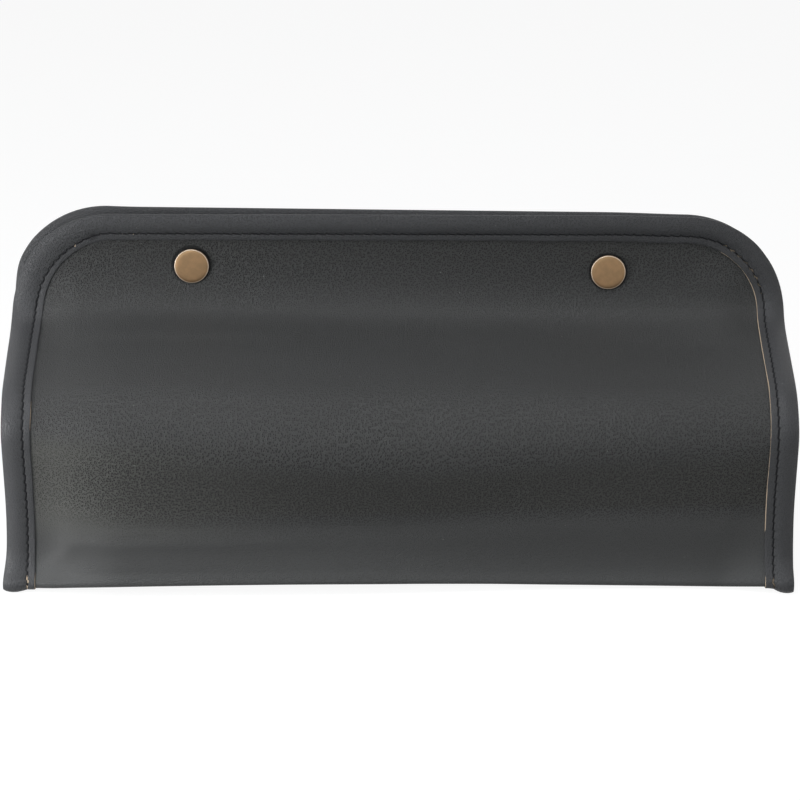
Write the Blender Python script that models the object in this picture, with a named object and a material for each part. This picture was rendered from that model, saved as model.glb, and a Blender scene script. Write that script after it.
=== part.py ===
"""A soft tissue-box case of imitation leather: one bound sheet wrapped round the box, closed by two snaps.

Metres, +Z up, front towards -Y. The origin is on the table under the middle of the case.
The sheet is drawn once as a side profile. A place on it is (across, along, out): across the width,
along the profile from the middle of the bottom, and out from the middle of the sheet's thickness.
"""

import math

import bmesh
import bpy
from mathutils import Vector

# Overall sizes, to the outside of the binding or to the middle of the sheet
CASE_WIDTH = 0.2770
CASE_HEIGHT = 0.1231
BELLY_DEPTH = 0.1230
BELLY_HEIGHT = 0.0575
BASE_DEPTH = 0.1225

# Side profile, radii to the middle of the sheet
BASE_FOLD_RADIUS = 0.0040
FOOT_RADIUS = 0.0220
FOOT_LEAN = math.radians(30)
BELLY_RADIUS = 0.0140
PINCH_RADIUS = 0.0090
LIP_FLARE_RADIUS = 0.0230
LIP_FLARE_ANGLE = math.radians(10)
FLAP_CORNER_RADIUS = 0.0355

# Materials and clearances
SHEET_THICKNESS = 0.0011
BINDING_THICKNESS = 0.00085
SEAT_GAP = 0.00025
FOLD_GAP = 0.0003
METAL_GAP = 0.00012

# Binding, measured in from its outer edge
BINDING_OUTSIDE_WIDTH = 0.0100
BINDING_INSIDE_WIDTH = 0.0080
STITCH_INSET = 0.0072
SHEET_INSET = 0.0018
ROLL_OUTSIDE_RISE = 0.0023
ROLL_INSIDE_SWELL = 0.0004
ROLL_CREST_INSET = 0.0034
ROLL_PRESSED_DEPTH = 0.0005

# End panels
END_PANEL_THICKNESS = 0.0011
END_PANEL_RECESS = 0.0103
END_PANEL_BEND = 0.0012

# Snaps: where they sit on the flaps. They are set by hand, the left one nearer to the top.
SNAP_SPACING = 0.1500
LEFT_SNAP_DROP = 0.0186
RIGHT_SNAP_DROP = 0.0209
FLAT_BELOW_SNAPS = 0.0050
FLAT_ABOVE_SNAPS = 0.0037

# Snap cap, outside the front flap
CAP_RADIUS = 0.00625
CAP_THICKNESS = 0.0015
CAP_BEVEL = 0.0006
CAP_CURL = 0.0004
SHANK_RADIUS = 0.0016
SHANK_BORE_RADIUS = 0.0010
FLARE_RADIUS = 0.0023
FLARE_THICKNESS = 0.0005

# Snap socket, inside the front flap
SOCKET_RADIUS = 0.0050
SOCKET_WALL = 0.0007
SOCKET_FLOOR = 0.0006
SOCKET_LIP = 0.0004
SOCKET_MOUTH_RADIUS = 0.00385
SPRING_WIRE_RADIUS = 0.0003

# Snap stud, inside the back flap
STUD_FLANGE_RADIUS = 0.0044
STUD_FLANGE_THICKNESS = 0.0010
STUD_NECK_RADIUS = 0.0017
STUD_BULB_RADIUS = 0.00195
STUD_TIP_RADIUS = 0.0009
STUD_ENGAGED = 0.0017
STUD_BULB_DEPTH = 0.0012
STUD_RIM_GAP = 0.00035
STUD_BORE_RADIUS = 0.00125
STUD_BORE_DEPTH = 0.0017

# Snap post, outside the back flap
POST_FLANGE_RADIUS = 0.0041
POST_FLANGE_THICKNESS = 0.0008
POST_SHANK_RADIUS = 0.00105
POST_EYE_RADIUS = 0.0006
POST_EYE_DEPTH = 0.0014

# Fineness of the facets
ARC_STEP = math.radians(12)
CORNER_STEPS = 9
ROLL_STEPS = 4
TURN_STEPS = 28
STUD_NOSE_STEPS = 3
SPRING_ARC_STEPS = 8
SPRING_BEVEL_STEPS = 2
LEAST_STATION = 0.0003
MERGE_DISTANCE = 0.000001
SMOOTH_ANGLE = math.radians(35)
CUT_OVERRUN = 0.0010

# Worked out
FLOOR_LIFT = ROLL_OUTSIDE_RISE - ROLL_PRESSED_DEPTH
HALF_SHEET = SHEET_THICKNESS / 2
TAIL_RISE = HALF_SHEET + SEAT_GAP + BINDING_THICKNESS
FLANGE_INSIDE = HALF_SHEET + SEAT_GAP + END_PANEL_THICKNESS
CUP_FLOOR = SEAT_GAP + SOCKET_FLOOR
FLARE_TOP = CUP_FLOOR + METAL_GAP + FLARE_THICKNESS
STUD_TIP = FLARE_TOP + STUD_RIM_GAP
SOCKET_MOUTH = STUD_TIP + STUD_ENGAGED
STUD_SEAT = SOCKET_MOUTH + STUD_RIM_GAP + STUD_FLANGE_THICKNESS
LIP_GAP = STUD_SEAT + SEAT_GAP
LIP_OFFSET = LIP_GAP / 2 + HALF_SHEET
FRONT, BACK = -1, 1
LEFT, RIGHT = -1, 1
SNAP_HEIGHTS = {LEFT: CASE_HEIGHT - LEFT_SNAP_DROP, RIGHT: CASE_HEIGHT - RIGHT_SNAP_DROP}


class Profile:
    """The side profile as runs of constant curvature, from the middle of the bottom to the flap's top."""

    def __init__(self):
        fold = Vector((BASE_FOLD_RADIUS - BASE_DEPTH / 2, FLOOR_LIFT + BASE_FOLD_RADIUS))
        belly = Vector((BELLY_RADIUS - BELLY_DEPTH / 2, BELLY_HEIGHT))
        foot_reach = BASE_FOLD_RADIUS + FOOT_RADIUS
        hollow_y = fold.x + FOOT_RADIUS - foot_reach * math.cos(FOOT_LEAN)
        wall_rise = BELLY_HEIGHT - fold.y - foot_reach * math.sin(FOOT_LEAN)
        wall_lean = 2 * math.atan((hollow_y + BELLY_DEPTH / 2) / wall_rise)
        wall_radius = wall_rise / math.sin(wall_lean) - BELLY_RADIUS
        lip_start = min(SNAP_HEIGHTS.values()) - FLAT_BELOW_SNAPS
        lip_end = max(SNAP_HEIGHTS.values()) + FLAT_ABOVE_SNAPS
        pinch = Vector((-LIP_OFFSET - PINCH_RADIUS, lip_start))
        span = pinch - belly
        radii = BELLY_RADIUS + PINCH_RADIUS
        slope = math.atan2(span.y, span.x) - math.asin(radii / span.length)
        slope_length = math.sqrt(span.length_squared - radii**2)
        flare_rise = LIP_FLARE_RADIUS * math.sin(LIP_FLARE_ANGLE)
        tip_rise = CASE_HEIGHT - lip_end - flare_rise
        upright = math.pi / 2
        self.runs = []
        self.length = 0
        self.place = Vector((0, FLOOR_LIFT))
        self.heading = math.pi
        self.line(-fold.x)
        self.turn(BASE_FOLD_RADIUS, upright - FOOT_LEAN)
        self.turn(FOOT_RADIUS, upright)
        self.turn(wall_radius, upright + wall_lean)
        self.turn(BELLY_RADIUS, upright)
        self.belly = self.length
        self.turn(BELLY_RADIUS, slope)
        self.line(slope_length)
        self.turn(PINCH_RADIUS, upright)
        self.line(lip_end - lip_start)
        self.turn(LIP_FLARE_RADIUS, upright + LIP_FLARE_ANGLE)
        self.line(tip_rise / math.cos(LIP_FLARE_ANGLE))

    def line(self, length):
        self.add_run(length, 0)

    def turn(self, radius, heading):
        swing = heading - self.heading
        self.add_run(radius * abs(swing), math.copysign(1 / radius, swing))

    def add_run(self, length, curvature):
        self.runs.append((self.length, length, curvature, self.place.copy(), self.heading))
        self.place, self.heading = walked(self.place, self.heading, length, curvature)
        self.length += length

    def at(self, along):
        """The (y, z) of the front half's sheet middle there, and its outward direction."""
        run = self.runs[0]
        for later in self.runs[1:]:
            if along >= later[0]:
                run = later
        start, _, curvature, place, heading = run
        place, heading = walked(place, heading, along - start, curvature)
        return place, Vector((-math.sin(heading), math.cos(heading)))

    def stations(self, first, last):
        """Values of along that follow the curves closely enough, from first to last."""
        found = {first, last}
        for start, length, curvature, _, _ in self.runs:
            steps = max(1, math.ceil(abs(curvature) * length / ARC_STEP))
            for step in range(steps + 1):
                along = start + length * step / steps
                if first < along < last:
                    found.add(along)
        return thinned(sorted(found))


def walked(place, heading, length, curvature):
    if curvature == 0:
        return place + length * Vector((math.cos(heading), math.sin(heading))), heading
    end = heading + curvature * length
    step = Vector((math.sin(end) - math.sin(heading), math.cos(heading) - math.cos(end)))
    return place + step / curvature, end


def thinned(values):
    """The values without any that nearly repeats the one before it, both ends kept."""
    kept = values[:1]
    for value in values[1:-1]:
        if value - kept[-1] > LEAST_STATION and values[-1] - value > LEAST_STATION:
            kept.append(value)
    return kept + values[-1:]


PROFILE = Profile()


def placed(across, along, out, side):
    """The world place of a point given on the sheet."""
    middle, outward = PROFILE.at(along)
    spot = middle + out * outward
    return Vector((across, -side * spot.x, spot.y))


HINGES = {
    side: Vector((0, side * (BELLY_DEPTH / 2 + ROLL_OUTSIDE_RISE), BELLY_HEIGHT)) for side in (FRONT, BACK)
}


def clear_scene():
    for thing in list(bpy.data.objects):
        bpy.data.objects.remove(thing)


def material(name, colour, roughness, metallic=0.0):
    made = bpy.data.materials.new(name)
    made.use_nodes = True
    shader = made.node_tree.nodes["Principled BSDF"]
    shader.inputs["Base Color"].default_value = (*colour, 1)
    shader.inputs["Roughness"].default_value = roughness
    shader.inputs["Metallic"].default_value = metallic
    return made


def empty(name, location):
    made = bpy.data.objects.new(name, None)
    made.location = location
    bpy.context.collection.objects.link(made)
    return made


def added(name, mesh, finish, parent=None, origin=Vector()):
    """An object of this mesh, whose points are given from the origin it is placed at under its parent."""
    made = bpy.data.objects.new(name, mesh)
    made.location = origin
    made.parent = parent
    mesh.materials.clear()
    mesh.materials.append(finish)
    mesh.shade_smooth()
    mesh.set_sharp_from_angle(angle=SMOOTH_ANGLE)
    bpy.context.collection.objects.link(made)
    return made


def finished(name, shape):
    """A mesh of this bmesh with its faces turned outwards."""
    bmesh.ops.recalc_face_normals(shape, faces=shape.faces)
    mesh = bpy.data.meshes.new(name)
    shape.to_mesh(mesh)
    shape.free()
    return mesh


def lofted(name, rings, pivot):
    """A closed body through rings of points, its two ends filled, with its points taken from the pivot."""
    shape = bmesh.new()
    rows = [[shape.verts.new(point - pivot) for point in ring] for ring in rings]
    for row, following in zip(rows, rows[1:]):
        for i, corner in enumerate(row):
            j = (i + 1) % len(row)
            shape.faces.new((corner, row[j], following[j], following[i]))
    shape.faces.new(rows[0])
    shape.faces.new(rows[-1])
    return finished(name, shape)


def turned(name, outline):
    """A body turned about its own Z axis from (radius, height) points. Ends at radius 0 close on the axis."""
    shape = bmesh.new()
    corners = [shape.verts.new((radius, 0, height)) for radius, height in outline]
    edges = [shape.edges.new(pair) for pair in zip(corners, corners[1:])]
    if outline[0][0] > 0:
        edges.append(shape.edges.new((corners[-1], corners[0])))
    bmesh.ops.spin(
        shape,
        geom=corners + edges,
        cent=(0, 0, 0),
        axis=(0, 0, 1),
        angle=math.tau,
        steps=TURN_STEPS,
        use_merge=True,
    )
    bmesh.ops.remove_doubles(shape, verts=shape.verts, dist=MERGE_DISTANCE)
    return finished(name, shape)


def bored(thing, radius, centre, reach):
    """Cuts a round hole along Y through the thing, by a cutter that isn't rendered."""
    shape = bmesh.new()
    bmesh.ops.create_cone(
        shape,
        cap_ends=True,
        segments=TURN_STEPS,
        radius1=radius,
        radius2=radius,
        depth=2 * reach,
    )
    cutter = bpy.data.objects.new(thing.name + "_hole", finished(thing.name + "_hole", shape))
    cutter.rotation_euler = (math.pi / 2, 0, 0)
    cutter.location = centre
    cutter.parent = thing.parent
    cutter.hide_render = True
    cutter.display_type = "WIRE"
    bpy.context.collection.objects.link(cutter)
    cut = thing.modifiers.new("hole", "BOOLEAN")
    cut.operation = "DIFFERENCE"
    cut.object = cutter
    cut.solver = "EXACT"


def outline_at(along, inset):
    """The flap outline's half width at this place along the sheet, and the corner's angle there."""
    radius = FLAP_CORNER_RADIUS - inset
    start = PROFILE.length - FLAP_CORNER_RADIUS
    share = min(1, max(0, along - start) / radius)
    angle = math.asin(share)
    return CASE_WIDTH / 2 - inset - radius * (1 - math.cos(angle)), angle


def flap_stations(inset, depth=0):
    """Places along the flap, close enough for the profile's curves and for the round corners.

    Rings that reach in from the outline by depth also follow the curves at that depth.
    """
    last = PROFILE.length - inset
    radius = FLAP_CORNER_RADIUS - inset
    start = last - radius
    curves = PROFILE.stations(PROFILE.belly, last)
    share = depth / radius
    deeper = [(along - share * start) / (1 - share) for along in curves if along > start]
    corner = [start + radius * math.sin(math.pi / 2 * step / CORNER_STEPS) for step in range(CORNER_STEPS)]
    return thinned(sorted(corner + curves[:-1] + [along for along in deeper if along < last] + [last]))


def flap_sheet(side, finish, hinge):
    """The flap's sheet, from the fold line to the top, with round corners."""
    rings = []
    for along in flap_stations(SHEET_INSET):
        half, _ = outline_at(along, SHEET_INSET)
        corners = ((-half, HALF_SHEET), (half, HALF_SHEET), (half, -HALF_SHEET), (-half, -HALF_SHEET))
        rings.append([placed(across, along, out, side) for across, out in corners])
    level(rings[0], BELLY_HEIGHT + FOLD_GAP / 2)
    name = "front_flap" if side == FRONT else "back_flap"
    return added(name, lofted(name, rings, HINGES[side]), finish, hinge)


def level(ring, height):
    """Moves a ring's points onto one level, so that pieces meet face to face at the fold."""
    for point in ring:
        point.z = height


def main_panel(finish):
    """Front wall, bottom and back wall of the sheet, up to the two fold lines."""
    half = CASE_WIDTH / 2 - SHEET_INSET
    path = [(FRONT, along) for along in reversed(PROFILE.stations(0, PROFILE.belly))]
    path += [(BACK, along) for along in PROFILE.stations(0, PROFILE.belly)[1:]]
    rings = []
    for side, along in path:
        corners = ((-half, HALF_SHEET), (half, HALF_SHEET), (half, -HALF_SHEET), (-half, -HALF_SHEET))
        rings.append([placed(across, along, out, side) for across, out in corners])
    level(rings[0], BELLY_HEIGHT - FOLD_GAP / 2)
    level(rings[-1], BELLY_HEIGHT - FOLD_GAP / 2)
    return added("main_panel", lofted("main_panel", rings, Vector()), finish)


def binding_section(inside_face):
    """The folded strip's section as (inset, out) points, round a slot that takes the edges sewn into it.

    inside_face is how far in the innermost edge that it holds lies from the middle of the sheet.
    """
    slot_out = HALF_SHEET + SEAT_GAP
    slot_in = -inside_face - SEAT_GAP
    tail_in = slot_in - BINDING_THICKNESS
    roll_in = tail_in - ROLL_INSIDE_SWELL
    bottom = SHEET_INSET - SEAT_GAP
    swell_inset = (ROLL_CREST_INSET + STITCH_INSET) / 2
    turns = [math.pi / 2 * step / ROLL_STEPS for step in range(ROLL_STEPS)]
    nose = [(1 - math.cos(turn), math.sin(turn)) for turn in turns]
    outside = [(ROLL_CREST_INSET * inset, ROLL_OUTSIDE_RISE * rise) for inset, rise in nose]
    outside += [
        (ROLL_CREST_INSET, ROLL_OUTSIDE_RISE),
        (swell_inset, (ROLL_OUTSIDE_RISE + TAIL_RISE) / 2),
        (STITCH_INSET, TAIL_RISE),
        (BINDING_OUTSIDE_WIDTH, TAIL_RISE),
    ]
    inside = [(ROLL_CREST_INSET * inset, roll_in * rise) for inset, rise in nose[1:]]
    inside += [
        (ROLL_CREST_INSET, roll_in),
        (STITCH_INSET, tail_in),
        (BINDING_INSIDE_WIDTH, tail_in),
    ]
    slot = [
        (BINDING_INSIDE_WIDTH, slot_in),
        (bottom, slot_in),
        (bottom, slot_out),
        (BINDING_OUTSIDE_WIDTH, slot_out),
    ]
    return outside + slot[::-1] + inside[::-1]


def flap_binding(side, finish, hinge):
    """The strip round a flap: up one edge, round the corner, along the top and down again."""
    section = binding_section(HALF_SHEET)
    rings = []
    for along in flap_stations(0, BINDING_INSIDE_WIDTH):
        half, angle = outline_at(along, 0)
        rings.append(
            [
                placed(half - inset * math.cos(angle), along - inset * math.sin(angle), out, side)
                for inset, out in section
            ]
        )
    level(rings[0], BELLY_HEIGHT + FOLD_GAP / 2)
    mirrored = [[Vector((-point.x, point.y, point.z)) for point in ring] for ring in reversed(rings)]
    name = "front_flap_binding" if side == FRONT else "back_flap_binding"
    return added(name, lofted(name, rings + mirrored, HINGES[side]), finish, hinge)


def base_path():
    """(side, along) from the front fold line down, under the bottom and up to the back fold line."""
    alongs = PROFILE.stations(0, PROFILE.belly)
    return [(FRONT, along) for along in reversed(alongs)] + [(BACK, along) for along in alongs[1:]]


def base_binding(end, finish):
    """The strip at one end, from fold line to fold line, pressed flat where the case stands on it."""
    rings = []
    for side, along in base_path():
        ring = [
            placed(end * (CASE_WIDTH / 2 - inset), along, out, side)
            for inset, out in binding_section(FLANGE_INSIDE)
        ]
        for point in ring:
            point.z = max(point.z, 0)
        rings.append(ring)
    level(rings[0], BELLY_HEIGHT - FOLD_GAP / 2)
    level(rings[-1], BELLY_HEIGHT - FOLD_GAP / 2)
    name = "base_binding_left" if end == LEFT else "base_binding_right"
    return added(name, lofted(name, rings, Vector()), finish)


def end_panel(end, finish):
    """A flat end with a margin turned outwards on three sides, sewn into the binding with the walls."""
    rim = CASE_WIDTH / 2 - SHEET_INSET
    outer_face = CASE_WIDTH / 2 - END_PANEL_RECESS
    inner_face = outer_face - END_PANEL_THICKNESS
    outside = -HALF_SHEET - SEAT_GAP
    inside = outside - END_PANEL_THICKNESS
    bend = END_PANEL_BEND + END_PANEL_THICKNESS
    nick = bend * (1 - math.cos(math.pi / 4))
    inner_nick = END_PANEL_BEND * (1 - math.cos(math.pi / 4))
    section = [
        (inner_face, outside - bend),
        (inner_face + nick, outside - nick),
        (inner_face + bend, outside),
        (rim, outside),
        (rim, inside),
        (outer_face + END_PANEL_BEND, inside),
        (outer_face + inner_nick, inside - inner_nick),
        (outer_face, inside - END_PANEL_BEND),
    ]
    shape = bmesh.new()
    path = base_path()
    rows = []
    for across, out in section:
        row = [placed(end * across, along, out, side) for side, along in path]
        level(row[:1], BELLY_HEIGHT - FOLD_GAP / 2)
        level(row[-1:], BELLY_HEIGHT - FOLD_GAP / 2)
        rows.append([shape.verts.new(point) for point in row])
    for row, following in zip(rows, rows[1:]):
        for i in range(len(row) - 1):
            shape.faces.new((row[i], row[i + 1], following[i + 1], following[i]))
    shape.faces.new(rows[0])
    shape.faces.new(rows[-1])
    shape.faces.new([row[0] for row in rows] + [row[-1] for row in reversed(rows)])
    name = "end_panel_left" if end == LEFT else "end_panel_right"
    return added(name, finished(name, shape), finish)


def snap_place(end, hinge_side):
    """Where a snap's axis meets the front flap's inner face, seen from the hinge that carries the piece."""
    face = Vector((end * SNAP_SPACING / 2, -LIP_GAP / 2, SNAP_HEIGHTS[end]))
    return face - HINGES[hinge_side]


def cap_outline():
    """The cap from its top on the axis to the flare of its hollow shank. Height is measured outwards."""
    under = SHEET_THICKNESS + SEAT_GAP
    top = under + CAP_THICKNESS
    end = -FLARE_TOP
    flare_top = end + FLARE_THICKNESS
    return [
        (0, top),
        (CAP_RADIUS - CAP_BEVEL - CAP_CURL, top),
        (CAP_RADIUS - CAP_CURL, top - CAP_CURL),
        (CAP_RADIUS, top - CAP_BEVEL - CAP_CURL),
        (CAP_RADIUS - CAP_CURL, under),
        (SHANK_RADIUS, under),
        (SHANK_RADIUS, flare_top),
        (FLARE_RADIUS, flare_top),
        (FLARE_RADIUS - FLARE_THICKNESS / 2, end),
        (SHANK_BORE_RADIUS + FLARE_THICKNESS / 2, end),
        (SHANK_BORE_RADIUS, flare_top),
        (SHANK_BORE_RADIUS, 0),
        (0, 0),
    ]


def socket_outline():
    """The cup, its floor against the flap and its lip turned in over the spring. Height is inwards."""
    lip_under = SOCKET_MOUTH - SOCKET_LIP
    hole = SHANK_RADIUS + SEAT_GAP
    cup = SOCKET_RADIUS - SOCKET_WALL
    return [
        (hole, SEAT_GAP),
        (SOCKET_RADIUS - SOCKET_LIP, SEAT_GAP),
        (SOCKET_RADIUS, SEAT_GAP + SOCKET_LIP),
        (SOCKET_RADIUS, lip_under),
        (SOCKET_RADIUS - SOCKET_LIP, SOCKET_MOUTH),
        (SOCKET_MOUTH_RADIUS + SOCKET_LIP / 2, SOCKET_MOUTH),
        (SOCKET_MOUTH_RADIUS, SOCKET_MOUTH - SOCKET_LIP / 2),
        (SOCKET_MOUTH_RADIUS + SOCKET_LIP / 2, lip_under),
        (cup, lip_under),
        (cup, CUP_FLOOR),
        (hole, CUP_FLOOR),
    ]


def stud_outline():
    """Flange, neck and bulb, with a blind hole for the post. Height is measured as for the socket."""
    seat = STUD_SEAT
    face = seat - STUD_FLANGE_THICKNESS
    bulb = SOCKET_MOUTH - STUD_BULB_DEPTH
    neck = (bulb + SOCKET_MOUTH) / 2
    turns = [math.pi / 2 * step / STUD_NOSE_STEPS for step in range(STUD_NOSE_STEPS + 1)]
    swell = STUD_BULB_RADIUS - STUD_TIP_RADIUS
    reach = bulb - STUD_TIP
    nose = [(STUD_TIP_RADIUS + swell * math.sin(turn), bulb - reach * math.cos(turn)) for turn in turns]
    return [
        (0, STUD_TIP),
        *nose,
        (STUD_NECK_RADIUS, neck),
        (STUD_NECK_RADIUS, face),
        (STUD_FLANGE_RADIUS - STUD_RIM_GAP, face),
        (STUD_FLANGE_RADIUS, face + STUD_RIM_GAP),
        (STUD_FLANGE_RADIUS, seat),
        (STUD_BORE_RADIUS, seat),
        (STUD_BORE_RADIUS, seat - STUD_BORE_DEPTH),
        (0, seat - STUD_BORE_DEPTH),
    ]


def post_outline():
    """The post's flange on the back flap's outer face and its shank in the stud, with an open eye."""
    face = LIP_GAP + SHEET_THICKNESS + SEAT_GAP
    top = face + POST_FLANGE_THICKNESS
    end = STUD_SEAT - STUD_BORE_DEPTH + METAL_GAP
    crown = (POST_FLANGE_RADIUS + POST_SHANK_RADIUS) / 2
    return [
        (0, end),
        (POST_SHANK_RADIUS, end),
        (POST_SHANK_RADIUS, face),
        (POST_FLANGE_RADIUS, face),
        (POST_FLANGE_RADIUS, face + POST_FLANGE_THICKNESS / 2),
        (crown, top),
        (POST_SHANK_RADIUS, top - POST_FLANGE_THICKNESS / 4),
        (POST_EYE_RADIUS, top - POST_FLANGE_THICKNESS / 2),
        (POST_EYE_RADIUS, top - POST_EYE_DEPTH),
        (0, top - POST_EYE_DEPTH),
    ]


def facing(outline, direction, name):
    """A turned piece with its own Z axis laid along Y: direction 1 points back, -1 forward."""
    mesh = turned(name, outline)
    for vertex in mesh.vertices:
        across, depth, height = vertex.co
        vertex.co = (across, direction * height, -direction * depth)
    return mesh


def spring_curve(name):
    """A hairpin of wire under the socket's lip: two upright limbs beside the stud, joined above it."""
    bend_radius = SOCKET_RADIUS - SOCKET_WALL - METAL_GAP - SPRING_WIRE_RADIUS
    limb = STUD_BULB_RADIUS + METAL_GAP + SPRING_WIRE_RADIUS
    depth = SOCKET_MOUTH - SOCKET_LIP - METAL_GAP - SPRING_WIRE_RADIUS
    foot = math.acos(limb / bend_radius)
    points = [(-limb, -bend_radius * math.sin(foot))]
    for step in range(SPRING_ARC_STEPS + 1):
        angle = math.pi - foot - (math.pi - 2 * foot) * step / SPRING_ARC_STEPS
        points.append((bend_radius * math.cos(angle), bend_radius * math.sin(angle)))
    points.append((limb, -bend_radius * math.sin(foot)))
    wire = bpy.data.curves.new(name, "CURVE")
    wire.dimensions = "3D"
    wire.bevel_depth = SPRING_WIRE_RADIUS
    wire.bevel_resolution = SPRING_BEVEL_STEPS
    wire.use_fill_caps = True
    spline = wire.splines.new("POLY")
    spline.points.add(len(points) - 1)
    for point, (across, height) in zip(spline.points, points):
        point.co = (across, depth, height, 1)
    return wire


def add_spring(name, finish, hinge, origin):
    wire = spring_curve(name)
    wire.materials.append(finish)
    made = bpy.data.objects.new(name, wire)
    made.location = origin
    made.parent = hinge
    bpy.context.collection.objects.link(made)
    return made


def add_snap(end, finish, front_hinge, back_hinge):
    """One snap's five pieces: cap, socket and spring on the front flap, stud and post on the back one."""
    word = "left" if end == LEFT else "right"
    at_front = snap_place(end, FRONT)
    at_back = snap_place(end, BACK)
    names = {piece: f"snap_{piece}_{word}" for piece in ("cap", "socket", "spring", "stud", "post")}
    cap = facing(cap_outline(), -1, names["cap"])
    socket = facing(socket_outline(), 1, names["socket"])
    stud = facing(stud_outline(), 1, names["stud"])
    post = facing(post_outline(), 1, names["post"])
    added(names["cap"], cap, finish["cap"], front_hinge, at_front)
    added(names["socket"], socket, finish["brass"], front_hinge, at_front)
    add_spring(names["spring"], finish["spring"], front_hinge, at_front)
    added(names["stud"], stud, finish["brass"], back_hinge, at_back)
    added(names["post"], post, finish["brass"], back_hinge, at_back)


def build():
    clear_scene()
    leather = material("black_leather", (0.042, 0.043, 0.045), 0.50)
    strip = material("binding_leather", (0.050, 0.051, 0.055), 0.46)
    ends = material("end_leather", (0.040, 0.041, 0.043), 0.52)
    finish = {
        "cap": material("antique_brass", (0.33, 0.22, 0.13), 0.38, 1.0),
        "brass": material("plain_brass", (0.55, 0.40, 0.22), 0.32, 1.0),
        "spring": material("spring_wire", (0.60, 0.58, 0.54), 0.28, 1.0),
    }
    hinges = {
        FRONT: empty("front_flap_hinge", HINGES[FRONT]),
        BACK: empty("back_flap_hinge", HINGES[BACK]),
    }
    main_panel(leather)
    for side, radius in ((FRONT, SHANK_RADIUS), (BACK, POST_SHANK_RADIUS)):
        flap = flap_sheet(side, leather, hinges[side])
        for end in (LEFT, RIGHT):
            centre = snap_place(end, side)
            centre.y += LIP_GAP / 2 + side * LIP_OFFSET
            bored(flap, radius + SEAT_GAP, centre, HALF_SHEET + CUT_OVERRUN)
        flap_binding(side, strip, hinges[side])
    for end in (LEFT, RIGHT):
        base_binding(end, strip)
        end_panel(end, ends)
        add_snap(end, finish, hinges[FRONT], hinges[BACK])


build()
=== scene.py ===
"""The looks of a soft tissue-box case: black imitation leather, a sewn binding and two brass snaps.

Metres, +Z up, front towards -Y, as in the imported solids. A place on the sheet is (across, along, out):
across the width, along the side profile from the middle of the bottom, and out from the middle of the
sheet's thickness.
"""

import math

import bmesh
import bpy
import numpy as np
from mathutils import Euler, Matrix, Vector


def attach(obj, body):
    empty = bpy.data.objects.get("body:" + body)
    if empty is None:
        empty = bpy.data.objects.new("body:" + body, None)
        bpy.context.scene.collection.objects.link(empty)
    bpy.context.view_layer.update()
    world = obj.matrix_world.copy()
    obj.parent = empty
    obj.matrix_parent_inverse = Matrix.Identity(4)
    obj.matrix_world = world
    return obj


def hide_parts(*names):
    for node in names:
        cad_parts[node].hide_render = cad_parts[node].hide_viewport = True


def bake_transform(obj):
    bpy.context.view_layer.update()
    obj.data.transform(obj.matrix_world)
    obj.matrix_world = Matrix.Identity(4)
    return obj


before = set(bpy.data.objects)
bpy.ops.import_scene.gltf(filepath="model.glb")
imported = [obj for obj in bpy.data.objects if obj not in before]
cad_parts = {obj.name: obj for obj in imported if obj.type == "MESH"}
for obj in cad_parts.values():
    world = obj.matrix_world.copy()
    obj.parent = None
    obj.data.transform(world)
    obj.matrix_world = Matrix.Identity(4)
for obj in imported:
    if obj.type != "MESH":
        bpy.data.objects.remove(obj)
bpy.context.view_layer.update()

MM = 0.001

# The sizes of the solids, but for a tighter fold, a foot that leans more, a wider pinch that starts lower,
# and a strip that is 0.1 mm narrower on its outside
CASE_WIDTH, CASE_HEIGHT = 277 * MM, 123.1 * MM
BELLY_DEPTH, BELLY_HEIGHT, BELLY_RADIUS = 123 * MM, 57.5 * MM, 14 * MM
BASE_DEPTH, BASE_FOLD_RADIUS = 122.5 * MM, 0.9 * MM
FOOT_RADIUS, FOOT_LEAN, PINCH_RADIUS = 22 * MM, math.radians(36), 12 * MM
LIP_FLARE_RADIUS, LIP_FLARE_ANGLE = 23 * MM, math.radians(10)
FLAP_CORNER_RADIUS = 35.5 * MM
SHEET_THICKNESS, BINDING_THICKNESS, SEAT_GAP = 1.1 * MM, 0.85 * MM, 0.25 * MM
FLOOR_LIFT, LIP_OFFSET, LIP_GAP = 1.8 * MM, 3.11 * MM, 5.12 * MM
FLAT_BELOW_SNAPS, FLAT_ABOVE_SNAPS = 7.5 * MM, 3.7 * MM
SHEET_INSET, STITCH_INSET = 1.8 * MM, 7.2 * MM
RAW_EDGE_OUTSIDE, RAW_EDGE_INSIDE = 9.9 * MM, 8.0 * MM
END_PANEL_THICKNESS, END_PANEL_RECESS, END_PANEL_BEND = 1.1 * MM, 10.3 * MM, 1.2 * MM
SNAP_PLACES = {"left": (-75 * MM, 104.5 * MM), "right": (75 * MM, 102.2 * MM)}
HALF_SHEET = SHEET_THICKNESS / 2
HALF_WIDTH = CASE_WIDTH / 2
FRONT, BACK = -1, 1

# Sewing
STITCH_PITCH, STITCH_LENGTH, THREAD_THICKNESS = 3.35 * MM, 3.0 * MM, 0.46 * MM
NEEDLE_ZIGZAG, THREAD_SUNK = 0.27 * MM, 0.20 * MM

# How finely the soft shapes are sampled
PROFILE_STEP, PROFILE_PAST_EDGE = 0.4 * MM, 5 * MM
SHEET_COLUMNS, SHEET_ROWS, CORNER_ROWS = 131, (30, 34, 24, 82, 24), 34
PLACES_PER_STITCH = 7
WOBBLE_CELLS, WOBBLE_START = 997, 331


def smooth_step(value, low, high):
    """0 up to low, 1 from high on and eased between them. With high below low it falls instead."""
    part = np.clip((np.asarray(value, float) - low) / (high - low), 0, 1)
    return part * part * (3 - 2 * part)


def hump(value, centre, reach):
    """1 at the centre, fading smoothly to both sides over this reach."""
    return np.exp(-(((np.asarray(value, float) - centre) / reach) ** 2))


def eased(value, base, low, high):
    """A smooth step from low to high, given in millimetres past this base."""
    return smooth_step(value, base + low * MM, base + high * MM)


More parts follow.
